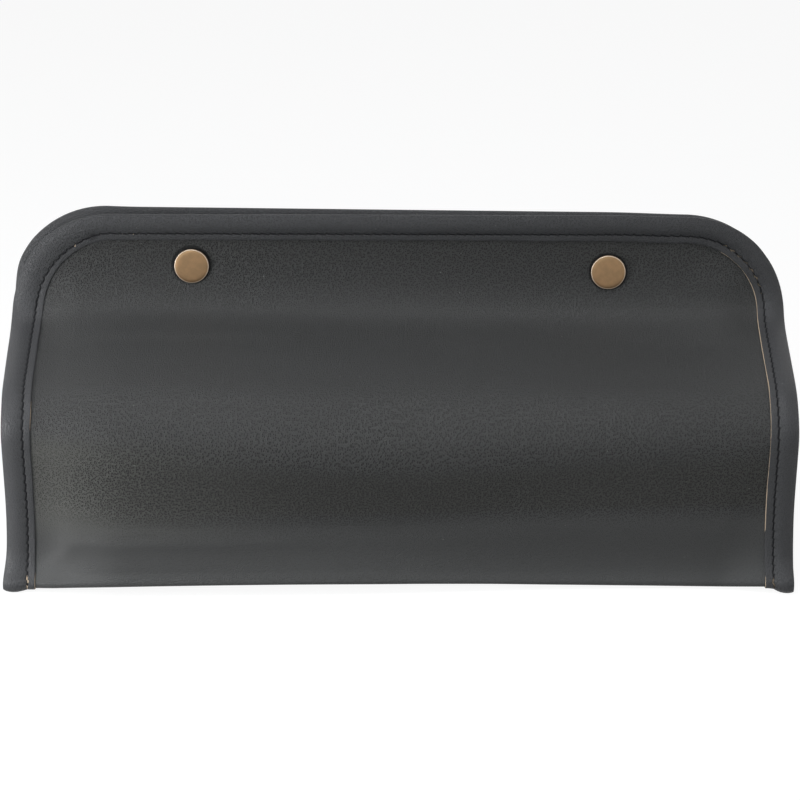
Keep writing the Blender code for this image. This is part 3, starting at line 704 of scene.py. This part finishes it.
def group(name, inputs, outputs, kind="ShaderNodeTree"):
    """A node group with these (name, socket kind, value if any): its wiring, inputs and node for results."""
    tree = bpy.data.node_groups.new(name, kind)
    for title, socket_kind, *value in inputs:
        socket = tree.interface.new_socket(title, in_out="INPUT", socket_type="NodeSocket" + socket_kind)
        if value:
            socket.default_value = value[0]
    for title, socket_kind in outputs:
        tree.interface.new_socket(title, in_out="OUTPUT", socket_type="NodeSocket" + socket_kind)
    return Wiring(tree), tree.nodes.new("NodeGroupInput").outputs, tree.nodes.new("NodeGroupOutput")


# ---------------------------------------------------------------- stitches, by geometry nodes


def stitch_tree():
    """Lays thread stitches along a line of points that carry the way the leather faces."""
    numbers = [(name, "Float") for name in ("Stitch length", "Thread thickness", "Slant", "Unevenness")]
    inputs = [("Line", "Geometry"), *numbers, ("Seed", "Int"), ("Thread", "Material")]
    nodes, given, result = group("stitch_row", inputs, [("Stitches", "Geometry")], "GeometryNodeTree")
    thick, uneven = given["Thread thickness"], given["Unevenness"]
    curve = nodes.add("GeometryNodeMeshToCurve", {"Mesh": given["Line"]})["Curve"]
    bead = nodes.add("GeometryNodeMeshUVSphere", {"Segments": 8, "Rings": 6, "Radius": 0.5})["Mesh"]
    size = nodes.add("ShaderNodeCombineXYZ", {"X": given["Stitch length"], "Y": thick, "Z": thick})[0]
    stitch = nodes.add("GeometryNodeTransform", {"Geometry": bead, "Scale": size})[0]
    facing = nodes.add("GeometryNodeInputNamedAttribute", {"Name": "facing"}, data_type="FLOAT_VECTOR")
    axes = {0: nodes.add("GeometryNodeInputTangent")[0], 1: facing["Attribute"]}
    aim = nodes.add("FunctionNodeAxesToRotation", axes, primary_axis="X", secondary_axis="Z")[0]
    spread = {"Min": nodes.times(uneven, -1.0), "Max": uneven, "Seed": given["Seed"]}
    drift = nodes.add("FunctionNodeRandomValue", spread, data_type="FLOAT")["Value"]
    slant = nodes.add("ShaderNodeCombineXYZ", {"Z": nodes.maths("ADD", given["Slant"], drift)})[0]
    tilt = nodes.add("FunctionNodeEulerToRotation", {"Euler": slant})[0]
    aim_and_tilt = {"Rotation": aim, "Rotate By": tilt}
    turned = nodes.add("FunctionNodeRotateRotation", aim_and_tilt, rotation_space="LOCAL")[0]
    instances = {"Points": curve, "Instance": stitch, "Rotation": turned}
    row = nodes.add("GeometryNodeInstanceOnPoints", instances)[0]
    solid = nodes.add("GeometryNodeRealizeInstances", {"Geometry": row})[0]
    smooth = nodes.add("GeometryNodeSetShadeSmooth", {"Geometry": solid})[0]
    dyed = nodes.add("GeometryNodeSetMaterial", {"Geometry": smooth, "Material": given["Thread"]})[0]
    nodes.fill(result, {"Stitches": dyed})
    return nodes.tree


def stitch_row(name, lines, tree, thread, seed):
    """A plain mesh of stitches along these lines, each given as (points, facings)."""
    points, facings = (np.concatenate(part) for part in zip(*lines))
    starts = np.cumsum([len(line) for line, _ in lines])
    edges = [(i, i + 1) for i in range(len(points) - 1) if i + 1 not in starts]
    mesh = bpy.data.meshes.new(name + "_line")
    mesh.from_pydata(points.tolist(), edges, [])
    point_layer(mesh, "facing", facings, "FLOAT_VECTOR")
    guide = new_object(name + "_line", mesh)
    sewing = guide.modifiers.new("sewing", "NODES")
    sewing.node_group = tree
    values = {
        "Stitch length": STITCH_LENGTH,
        "Thread thickness": THREAD_THICKNESS,
        "Slant": math.atan(2 * NEEDLE_ZIGZAG / STITCH_PITCH),
        "Unevenness": math.radians(4),
        "Seed": seed,
        "Thread": thread,
    }
    for socket in tree.interface.items_tree:
        if socket.name in values:
            sewing[socket.identifier] = values[socket.name]
    stitches = worked_mesh(guide)
    bpy.data.objects.remove(guide)
    return new_object(name, stitches)


def seam_lines(side):
    """The middles of the stitches on the seam's two faces: (points, facings) outside and inside."""
    path = EdgePath(0.5 * MM)
    sewn_length, seam = seam_walk(side, path)
    middles = np.arange(0.5, math.floor(sewn_length[-1] / STITCH_PITCH)) * STITCH_PITCH
    travel = np.interp(middles, sewn_length, path.travel)
    outside = HALF_SHEET + 0.47 * MM - THREAD_SUNK
    inside = THREAD_SUNK - (HALF_SHEET + SEAT_GAP + BINDING_THICKNESS)
    lines = []
    for out, inset in ((outside, seam), (inside, STITCH_INSET)):
        across, along = (np.interp(travel, path.travel, value) for value in path.place(inset))
        out = out - holding_panel(along) * (out < 0) * (SEAT_GAP + END_PANEL_THICKNESS)
        along = cut_place(side, across, along)
        line = lying(side, across, along, out)
        facing = lying(side, across, along, out + np.copysign(1 * MM, out)) - line
        lines.append((line, facing / np.linalg.norm(facing, axis=1)[:, None]))
    return lines


# ---------------------------------------------------------------- the end panels


def end_panel(name, end, leather, knit):
    """A flat end, sagging a little, with its margin turned out along the walls and the bottom."""
    top = BELLY_HEIGHT - 0.3 * MM
    against = -(HALF_SHEET + SEAT_GAP)
    bend = END_PANEL_BEND + END_PANEL_THICKNESS
    turn = np.linspace(0, math.pi / 2, 5)
    bent_x = HALF_WIDTH - END_PANEL_RECESS - END_PANEL_THICKNESS + bend * (1 - np.sin(turn))
    margin_x = end * np.append(HALF_WIDTH - SHEET_INSET, bent_x)
    margin_out = np.append(against, against - bend * (1 - np.cos(turn)))
    along = np.linspace(0, BELLY, 80)[:, None]
    front, back = (lying(side, margin_x, along, margin_out) for side in (FRONT, BACK))
    rim = np.concatenate([front[::-1], back[1:]])
    travel = np.concatenate([-along[::-1, 0], along[1:, 0]])
    for column, out in enumerate(margin_out):
        for side in (FRONT, BACK):
            in_corner = (travel * side > FOLD_START + 1.2 * out) & (travel * side < FOLD_END - 1.2 * out)
            before, after = np.flatnonzero(in_corner)[[0, -1]] + (-1, 1)
            straight = np.linspace(rim[before, column], rim[after, column], after - before + 1)
            rim[before : after + 1, column] = straight
    rim[..., 2] = np.minimum(rim[..., 2], top)
    rim[[0, -1], :, 2] = top
    edge = rim[:, -1]
    centre = np.array((edge[0, 0], 0, top))
    shares = np.linspace(1, 0, 27)[1:, None, None]
    points = np.concatenate([rim.swapaxes(0, 1), centre + shares * (edge - centre)])
    wide, high = points[..., 1] / (BASE_DEPTH / 2), (top - points[..., 2]) / top
    sag = np.clip(1 - wide**2, 0, 1) * np.clip(1 - (2 * high - 0.7) ** 2, 0, 1)
    sag[: len(margin_x)] = 0
    points[..., 0] -= end * 1.1 * MM * sag
    faces = ring_faces(*sag.shape, wrap=False)
    cut = grid(points[..., 1], points[..., 2], 0.0)
    depth = np.ones(sag.shape)
    made = mesh_object(
        name, points, faces, [leather, knit], cut, merge=0.001 * MM, facing=(end, 0, 0), depth=depth
    )
    thick = made.modifiers.new("thickness", "SOLIDIFY")
    thick.thickness, thick.offset, thick.material_offset = END_PANEL_THICKNESS, -1, 1
    solid = worked_mesh(made)
    solid.shade_smooth()
    made.modifiers.clear()
    made.data = solid
    return made


def end_hem(name, end, leather):
    """The end panel's top edge, turned over once to the outside."""
    x = end * (HALF_WIDTH - END_PANEL_RECESS - END_PANEL_THICKNESS / 2)
    half = BELLY_DEPTH / 2 - 3.4 * MM
    station = np.linspace(-half, half, 90)[:, None]
    turn = np.linspace(0, math.tau, 20, endpoint=False)
    wide = np.copysign(np.abs(np.cos(turn)) ** 0.6, np.cos(turn))
    tall = np.copysign(np.abs(np.sin(turn)) ** 0.35, np.sin(turn))
    dip = 0.8 * MM * np.cos(math.pi / 2 * station / half) + 0.12 * MM * wobble(station, 11 * MM, 5 + end)
    rings = grid(x + 1.45 * MM * wide, station, BELLY_HEIGHT - 4.2 * MM - dip + 3.9 * MM * tall)
    cut = grid(station, np.arange(len(turn)) * 0.9 * MM, 0.0)
    return tube_object(name, rings, cut, leather, depth=np.ones(rings.shape[:2]))


# ---------------------------------------------------------------- the snaps


def arc(centre, radius, start, stop, steps):
    """(radius, height) points round a small fillet, angles in degrees from the radius axis."""
    angles = np.radians(np.linspace(start, stop, steps + 1))
    return list(zip(centre[0] + radius * np.cos(angles), centre[1] + radius * np.sin(angles)))


def snap_outlines():
    """The snap's turned pieces: (outline, rows given a painted highlight, segments, direction).

    An outline is made of (radius, height) in millimetres, and direction is 1 for backwards. The cap is thin,
    very slightly domed, and has a rounded rim with a painted highlight and a hollow shank flared in the
    socket.
    """
    crown, under = 3.0, 1.65
    face = [(radius, crown - 0.0055 * radius**2) for radius in (0, 1.5, 3.0, 4.2, 4.8)]
    face += [(5.25, crown - 0.19), (5.6, crown - 0.27), (5.86, crown - 0.37)]
    cap = face + arc((5.93, crown - 0.66), 0.30, 78, 4, 6)
    cap += [(6.25, 2.05)] + arc((5.9, 1.95), 0.35, 0, -80, 4)
    cap += [(5.5, under), (1.6, under), (1.6, -0.95), (2.3, -0.99), (2.05, -1.45), (1.25, -1.45)]
    cap += [(1.0, -0.95), (1.0, 0), (0, 0)]
    socket = [(1.85, 0.25)] + arc((4.6, 0.65), 0.4, -90, 0, 4) + arc((4.62, 3.14), 0.38, 0, 90, 4)
    socket += [(4.3, 3.47)] + arc((4.1, 3.32), 0.2, 110, 240, 5)
    socket += [(4.3, 3.1), (4.3, 0.85), (1.85, 0.85), (1.85, 0.25)]
    stud = [(0, 1.82), (0.9, 1.82)] + arc((0.95, 2.3), 1.0, -62, 0, 6)
    stud += [(1.8, 2.6), (1.7, 2.9), (1.7, 3.75), (1.85, 3.87), (4.0, 3.87)]
    stud += arc((4.1, 4.17), 0.3, -80, 0, 4) + [(4.4, 4.87), (1.25, 4.87), (1.25, 3.2), (0, 3.2)]
    post = [(0, 3.32), (1.05, 3.32), (1.05, 6.47), (3.8, 6.47)] + arc((3.85, 6.7), 0.24, -80, 60, 5)
    post += [(3.2, 7.14), (2.6, 7.25), (1.9, 7.24), (1.25, 7.08)]
    post += arc((0.95, 6.85), 0.34, 60, 180, 4) + [(0.6, 5.9), (0, 5.9)]
    return {
        "snap_cap_": (cap, range(len(face), len(face) + 3), 96, -1),
        "snap_socket_": (socket, range(5, 12), 80, 1),
        "snap_stud_": (stud, range(1, 8), 80, 1),
        "snap_post_": (post, range(4, 14), 80, 1),
    }


def turned_piece(name, outline, worn, segments, direction, place, finish):
    """A piece turned about a line along Y through this place, which is (x, z)."""
    radius, height = np.array(outline).T[..., None]
    angle = np.arange(segments) * math.tau / segments
    points = grid(radius * np.cos(angle), direction * height, -direction * radius * np.sin(angle)) * MM
    points = points + (place[0], -LIP_GAP / 2, place[1])
    faces = ring_faces(len(outline), segments)
    # Rows listed in worn get a painted highlight: they are marked bare, which the brass material paints in
    # its paler rim colour.
    bare = np.repeat([row in worn for row in range(len(outline))], segments)
    made = mesh_object(name, points, faces, [finish], merge=0.002 * MM, bare=bare)
    made.data.set_sharp_from_angle(angle=math.radians(38))
    return made


# ---------------------------------------------------------------- finishes


def pebble_group():
    """The pressed grain of imitation leather: a flat top with small pits, joined by faint creases."""
    nodes, given, result = group(
        "pebble_grain",
        [("Place", "Vector"), ("Pebbles per metre", "Float", 1000.0), ("Creases", "Float", 0.35)],
        [("Height", "Float"), ("Valleys", "Float")],
    )
    drift = nodes.noise(given["Place"], 420.0, 2.0)["Color"]
    shift = nodes.vectors("SUBTRACT", drift, (0.5, 0.5, 0.5))[0]
    place = nodes.vectors("MULTIPLY_ADD", shift, (0.0005, 0.0005, 0.0005), given["Place"])[0]
    pits, edges = (
        nodes.cells(place, given["Pebbles per metre"], 0.82, feature)["Distance"]
        for feature in ("F1", "DISTANCE_TO_EDGE")
    )
    fine = nodes.noise(given["Place"], 5200.0, 2.0, 0.6)["Fac"]
    crease = nodes.times(nodes.ranged(edges, 0.0, 0.2, 1.0, 0.0), given["Creases"])
    valley = nodes.maths("MAXIMUM", nodes.ranged(pits, 0.12, 0.40, 1.0, 0.0), crease)
    height = nodes.times(fine, 0.25, nodes.maths("SUBTRACT", 1.0, valley))
    nodes.fill(result, {"Height": height, "Valleys": valley})
    return nodes.tree


def painted_snap_shadow_group():
    """A painted shadow: a dark ring on the sheet just round a snap, where the cap meets the leather, at
    either of two places.
    """
    nodes, given, result = group(
        "painted_snap_shadow_rings",
        [("Place", "Vector"), ("Left", "Vector"), ("Right", "Vector"), ("Radius", "Float", 0.0064)],
        [("Ring", "Float")],
    )
    rings = []
    for which in ("Left", "Right"):
        away = nodes.vectors("DISTANCE", given["Place"], given[which])["Value"]
        rings.append(nodes.ranged(nodes.maths("SUBTRACT", away, given["Radius"]), 0.0002, 0.0010, 1.0, 0.0))
    nodes.fill(result, {"Ring": nodes.maths("MAXIMUM", *rings)})
    return nodes.tree


def dust_group():
    """Sparse pale specks of lint and dust."""
    nodes, given, result = group(
        "dust_specks",
        [("Place", "Vector"), ("Specks per metre", "Float", 140.0), ("Share", "Float", 0.12)],
        [("Specks", "Float")],
    )
    cells = nodes.cells(given["Place"], given["Specks per metre"], 1.0)
    pick = nodes.add("ShaderNodeSeparateColor", {"Color": cells["Color"]})
    chosen = nodes.maths("LESS_THAN", pick[0], given["Share"])
    inside = nodes.maths("LESS_THAN", cells["Distance"], nodes.times(pick[1], 0.022, 0.008))
    faint = nodes.times(pick[2], 0.35, 0.10)
    nodes.fill(result, {"Specks": nodes.times(nodes.times(chosen, inside), faint)})
    return nodes.tree


def handling_group():
    """Broad, faint differences of sheen left by handling."""
    nodes, given, result = group(
        "handling_marks", [("Place", "Vector"), ("Marks per metre", "Float", 24.0)], [("Sheen", "Float")]
    )
    wide = nodes.noise(given["Place"], given["Marks per metre"], 3.0, 0.55)["Fac"]
    nodes.fill(result, {"Sheen": nodes.ranged(wide, 0.3, 0.7)})
    return nodes.tree


def new_material(name):
    """A material, the wiring of its tree and its shader."""
    made = bpy.data.materials.new(name)
    made.use_nodes = True
    return made, Wiring(made.node_tree), made.node_tree.nodes["Principled BSDF"]


def leather_material(name, groups, colour, pit_shade_colour, roughness, pebbles, depth, backing=None, snaps=None):
    """Semi-matt imitation leather. With a backing colour, the cut edge shows it where the mesh says bare.
    With snaps given, a painted shadow ring darkens the sheet round each snap.
    """
    made, nodes, shader = new_material(name)
    place, deep = nodes.attribute("cut", "Vector"), nodes.attribute("depth")
    grain = nodes.use(groups["pebble"], {"Place": place, "Pebbles per metre": pebbles})
    sheen = nodes.use(groups["handling"], {"Place": place})["Sheen"]
    specks = nodes.use(groups["dust"], {"Place": place})["Specks"]
    # Painted shade: the grain's pits and creases are darkened, more where the grain is deep.
    pit_shade_share = nodes.times(grain["Valleys"], nodes.times(deep, 0.40), clamp=True)
    # Painted shade: where the grain is deepest, in the dark band under the belly and on the lip, the colour
    # turns warmer like the shade there.
    belt_shade_tint = tuple(part * more for part, more in zip(colour, (0.98, 0.97, 0.90)))
    tint = nodes.mix(nodes.ranged(deep, 2.6, 4.0), colour, belt_shade_tint)
    # Painted light: the left end of the front wall's belt is made up to 1.6 times lighter.
    tint = nodes.mix(nodes.attribute("paler"), tint, tuple(1.6 * part for part in belt_shade_tint))
    tint = nodes.mix(pit_shade_share, tint, pit_shade_colour)
    tint = nodes.mix(specks, tint, (0.30, 0.30, 0.28))
    rough = nodes.times(sheen, -0.07, roughness + 0.035)
    rough = nodes.times(pit_shade_share, 0.14, rough)
    if snaps:
        # Painted shadow: a near-black ring round each snap cap, where the cap meets the sheet.
        ring = nodes.use(groups["rings"], {"Place": place, "Left": snaps[0], "Right": snaps[1]})["Ring"]
        tint = nodes.mix(nodes.times(ring, 0.85), tint, (0.004, 0.004, 0.004))
        rough = nodes.times(ring, 0.3, rough, clamp=True)
    if backing:
        # Painted shade: the sewn share darkens the seam's groove, stitch holes and tuck nearly to black.
        sewn, bare = nodes.attribute("sewn"), nodes.attribute("bare")
        tint = nodes.mix(nodes.times(sewn, 0.75), tint, (0.004, 0.004, 0.005))
        frayed = nodes.noise(place, 1800.0, 2.0)["Fac"]
        worn = nodes.ranged(nodes.times(frayed, 0.35, bare), 0.5, 0.66)
        tint = nodes.mix(worn, tint, backing)
        rough = nodes.times(worn, 0.4, rough, clamp=True)
        rough = nodes.times(sewn, 0.3, rough, clamp=True)
    bump = nodes.bump(nodes.times(grain["Height"], deep), 1.0, depth)
    nodes.fill(shader, {"Base Color": tint, "Roughness": rough, "Normal": bump, "Specular IOR Level": 0.25})
    return made


def knit_material(groups):
    """The pale machine-knit backing on the inside of the sheet."""
    made, nodes, shader = new_material("knit_backing")
    place = nodes.attribute("cut", "Vector")
    parts = nodes.add("ShaderNodeSeparateXYZ", {"Vector": place})
    ribs = nodes.maths("SINE", nodes.times(parts["X"], math.tau * 1300))
    rows = nodes.times(parts["Y"], math.tau * 1600)
    loops = nodes.maths("SINE", nodes.times(ribs, 0.9, rows))
    knit = nodes.times(nodes.times(ribs, loops), 0.5, 0.5)
    fuzz = nodes.noise(place, 2600.0, 3.0)["Fac"]
    sheen = nodes.use(groups["handling"], {"Place": place})["Sheen"]
    tint = nodes.mix(knit, (0.345, 0.285, 0.218), (0.43, 0.362, 0.28))
    tint = nodes.mix(nodes.times(sheen, 0.35), tint, (0.40, 0.35, 0.29))
    rough = nodes.times(fuzz, 0.1, 0.82)
    bump = nodes.bump(nodes.times(fuzz, 0.5, knit), 0.8, 0.00022)
    nodes.fill(shader, {"Base Color": tint, "Roughness": rough, "Normal": bump})
    nodes.fill(shader, {"Sheen Weight": 0.25, "Sheen Roughness": 0.6})
    return made


def thread_material():
    """Black twisted thread."""
    made, nodes, shader = new_material("black_thread")
    place = nodes.add("ShaderNodeTexCoord")["Object"]
    wave = {"Vector": place, "Scale": 900.0, "Distortion": 1.5, "Detail": 1.0}
    twist = nodes.add("ShaderNodeTexWave", wave)["Fac"]
    tint = nodes.mix(twist, (0.006, 0.006, 0.007), (0.016, 0.016, 0.018))
    rough = nodes.times(twist, 0.15, 0.65)
    bump = nodes.bump(twist, 0.6, 0.00006)
    nodes.fill(shader, {"Base Color": tint, "Roughness": rough, "Normal": bump, "Specular IOR Level": 0.1})
    return made


def brass_material(name, face, dull, bright, roughness):
    """Plated brass: a satin face with cloudy patina, and a painted highlight in a paler colour on the rim
    rows the mesh marks bare.
    """
    made, nodes, shader = new_material(name)
    place, bare = nodes.add("ShaderNodeTexCoord")["Object"], nodes.attribute("bare")
    cloud = nodes.noise(place, 330.0, 4.0, 0.6)["Fac"]
    speckle = nodes.noise(place, 2400.0, 2.0)["Fac"]
    tint = nodes.mix(nodes.ranged(cloud, 0.36, 0.66), face, dull)
    tint = nodes.mix(nodes.times(nodes.ranged(speckle, 0.5, 0.8), 0.3), tint, dull)
    # Painted highlight: the rim rows marked bare take the paler brass colour.
    tint = nodes.mix(bare, tint, bright)
    rough = nodes.times(cloud, 0.16, roughness - 0.08)
    rough = nodes.times(bare, 0.06, rough)
    bump = nodes.bump(speckle, 0.25, 0.00002)
    nodes.fill(shader, {"Base Color": tint, "Roughness": rough, "Normal": bump, "Metallic": 1.0})
    return made


def wire_material():
    """Drawn spring steel."""
    made, nodes, shader = new_material("spring_steel")
    drawn = nodes.noise(nodes.add("ShaderNodeTexCoord")["Object"], 3000.0, 2.0)["Fac"]
    tint = nodes.mix(drawn, (0.50, 0.48, 0.45), (0.66, 0.64, 0.60))
    rough = nodes.times(drawn, 0.15, 0.22)
    nodes.fill(shader, {"Base Color": tint, "Roughness": rough, "Metallic": 1.0})
    return made


# ---------------------------------------------------------------- stage, lamps and camera

# name, place, aim, size, watts, colour
LAMPS = (
    ("left_low", (-0.42, -0.22, 0.12), (-0.10, -0.04, 0.05), (0.16, 0.16), 1.65, (1.0, 1.0, 1.0)),
    ("right_high", (0.46, -0.16, 0.26), (0.12, -0.04, 0.07), (0.20, 0.20), 0.35, (1.0, 0.98, 0.95)),
    ("ceiling_forward", (-0.25, -0.38, 1.25), (0, -0.03, 0.07), (1.0, 0.35), 9.6, (0.97, 0.97, 1.0)),
    ("ceiling_back", (-0.1, 0.45, 1.15), (0, 0, 0.08), (1.0, 0.4), 0.8, (0.8, 0.9, 1.0)),
    ("front_far", (-0.5, -1.45, 0.9), (0, -0.03, 0.07), (0.8, 0.4), 6.6, (0.85, 0.97, 1.0)),
)
ROOM_LEVEL = (0.002, 0.002, 0.002)
WHITE = (1, 1, 1)


def seen_directly(nodes):
    """1 for what the camera sees itself, in a reflection or through something clear."""
    path = nodes.add("ShaderNodeLightPath")
    share = nodes.maths("MAXIMUM", path["Is Camera Ray"], path["Is Glossy Ray"])
    return nodes.maths("MAXIMUM", share, path["Is Transmission Ray"])


def paper_material():
    """White to the eye; only a share of it takes light, which keeps the case's shadow faint."""
    made, nodes, shader = new_material("white_paper")
    nodes.fill(shader, {"Base Color": (0.80, 0.80, 0.80), "Roughness": 0.9, "Specular IOR Level": 0.0})
    glow = nodes.add("ShaderNodeEmission", {"Color": WHITE, "Strength": 1.12})[0]
    share = nodes.times(seen_directly(nodes), 0.82)
    mixed = nodes.add("ShaderNodeMixShader", {0: share, 1: shader.outputs[0], 2: glow})[0]
    nodes.fill(nodes.tree.nodes["Material Output"], {"Surface": mixed})
    return made


def set_room():
    """A room that is nearly dark to the case, and white to the camera."""
    world = bpy.data.worlds.new("soft_room")
    world.use_nodes = True
    bpy.context.scene.world = world
    nodes = Wiring(world.node_tree)
    room = world.node_tree.nodes["Background"]
    nodes.fill(room, {"Color": ROOM_LEVEL, "Strength": 1.0})
    white = nodes.add("ShaderNodeBackground", {"Color": WHITE, "Strength": 1.0})[0]
    mixed = nodes.add("ShaderNodeMixShader", {0: seen_directly(nodes), 1: room.outputs[0], 2: white})[0]
    nodes.fill(world.node_tree.nodes["World Output"], {"Surface": mixed})


def set_stage():
    """The white paper, the room and the lamps."""
    mesh = bpy.data.meshes.new("paper_floor")
    mesh.from_pydata([(-4, -4, 0), (4, -4, 0), (4, 4, 0), (-4, 4, 0)], [], [(0, 1, 2, 3)])
    mesh.materials.append(paper_material())
    floor = new_object("paper_floor", mesh)
    set_room()
    for name, place, aim, size, power, colour in LAMPS:
        light = bpy.data.lights.new(name, "AREA")
        light.shape = "RECTANGLE"
        light.size, light.size_y = size
        light.energy, light.color = power, colour
        made = new_object(name, light)
        made.location = place
        made.rotation_euler = (Vector(aim) - Vector(place)).to_track_quat("-Z", "Y").to_euler()
    bpy.context.scene.view_settings.view_transform = "Standard"


def set_camera():
    """Looks along +Y from 16 degrees above the table, 1.16 m from the case."""
    elevation, distance, focus_height = math.radians(16), 1.16, 0.053
    camera = bpy.data.cameras.new("photo_camera")
    camera.sensor_width, camera.lens, camera.clip_end = 36, 142.7, 30
    made = new_object("photo_camera", camera)
    made.location = (0, -distance * math.cos(elevation), focus_height + distance * math.sin(elevation))
    made.rotation_euler = Euler((math.pi / 2 - elevation, 0, 0))
    bpy.context.scene.camera = made


# ---------------------------------------------------------------- the case


def dress_case():
    """Builds every piece: the sheets, bindings and stitches are baked in place, the end panels and snaps are
    attached to the body they move with, and the solids they stand for are hidden.
    """
    groups = {
        "pebble": pebble_group(),
        "dust": dust_group(),
        "handling": handling_group(),
        # The painted shadow rings round the snap caps.
        "rings": painted_snap_shadow_group(),
    }
    # Snap places on the flat hide, where the painted shadow rings go round the caps.
    snaps = [(x, along_at_height(height), 0) for x, height in SNAP_PLACES.values()]
    # Each leather: its colour and the painted shade colour of its grain's pits.
    black, pit_shade_colour = (0.0436, 0.0441, 0.0439), (0.0075, 0.0077, 0.0072)
    leather = leather_material("black_leather", groups, black, pit_shade_colour, 0.46, 1250.0, 0.00011, snaps=snaps)
    black, pit_shade_colour, backing = (0.0425, 0.043, 0.0455), (0.013, 0.0135, 0.0142), (0.42, 0.33, 0.24)
    strip = leather_material("binding_leather", groups, black, pit_shade_colour, 0.44, 1350.0, 0.00008, backing)
    black, pit_shade_colour = (0.0395, 0.04, 0.038), (0.016, 0.0165, 0.0155)
    end_leather = leather_material("end_leather", groups, black, pit_shade_colour, 0.48, 1000.0, 0.00008)
    knit = knit_material(groups)
    thread = thread_material()
    # Brass colours: face, patina, and the painted highlight on the rim rows.
    face, dull, bright = (0.262, 0.165, 0.089), (0.225, 0.146, 0.080), (0.50, 0.42, 0.34)
    cap_finish = brass_material("antique_brass", face, dull, bright, 0.44)
    face, dull, bright = (0.60, 0.44, 0.24), (0.48, 0.34, 0.18), (0.74, 0.57, 0.34)
    brass = brass_material("plain_brass", face, dull, bright, 0.30)
    wire = wire_material()
    tree = stitch_tree()
    outlines = snap_outlines()
    for side, cover, flap in ((FRONT, "front_cover", "front_flap"), (BACK, "back_cover", "back_flap")):
        edge = side * (BELLY_DEPTH / 2 + 2.3 * MM)
        start, end = (0, edge, BELLY_HEIGHT - 1.5 * MM), (0, edge, BELLY_HEIGHT + 11 * MM)
        sheet = cover_sheet(side, leather, knit)
        binding = binding_strip(side, strip)
        stitches = cover.replace("cover", "binding_stitches")
        seams = stitch_row(stitches, seam_lines(side), tree, thread, 7 + side)
        for piece, slot in ((sheet, "sheet"), (binding, "binding"), (seams, "binding")):
            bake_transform(piece)
        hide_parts(flap, "main_panel")
        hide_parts(flap + "_binding", "base_binding_left", "base_binding_right")
    for end, word in ((-1, "left"), (1, "right")):
        panel = end_panel("end_panel_" + word + "_leather", end, end_leather, knit)
        hem = end_hem("end_hem_" + word, end, end_leather)
        for piece in (panel, hem):
            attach(piece, "tray")
        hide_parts("end_panel_" + word)
        for finish, body, slot, node in (
            (cap_finish, "front_cover", "snap_cap", "snap_cap_"),
            (brass, "front_cover", "snap_metal", "snap_socket_"),
            (brass, "back_cover", "snap_metal", "snap_stud_"),
            (brass, "back_cover", "snap_metal", "snap_post_"),
        ):
            piece = turned_piece(node + word + "_finished", *outlines[node], SNAP_PLACES[word], finish)
            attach(piece, body)
            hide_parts(node + word)
        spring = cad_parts["snap_spring_" + word]
        spring.data.materials.clear()
        spring.data.materials.append(wire)


dress_case()
set_stage()
set_camera()
bpy.context.view_layer.update()
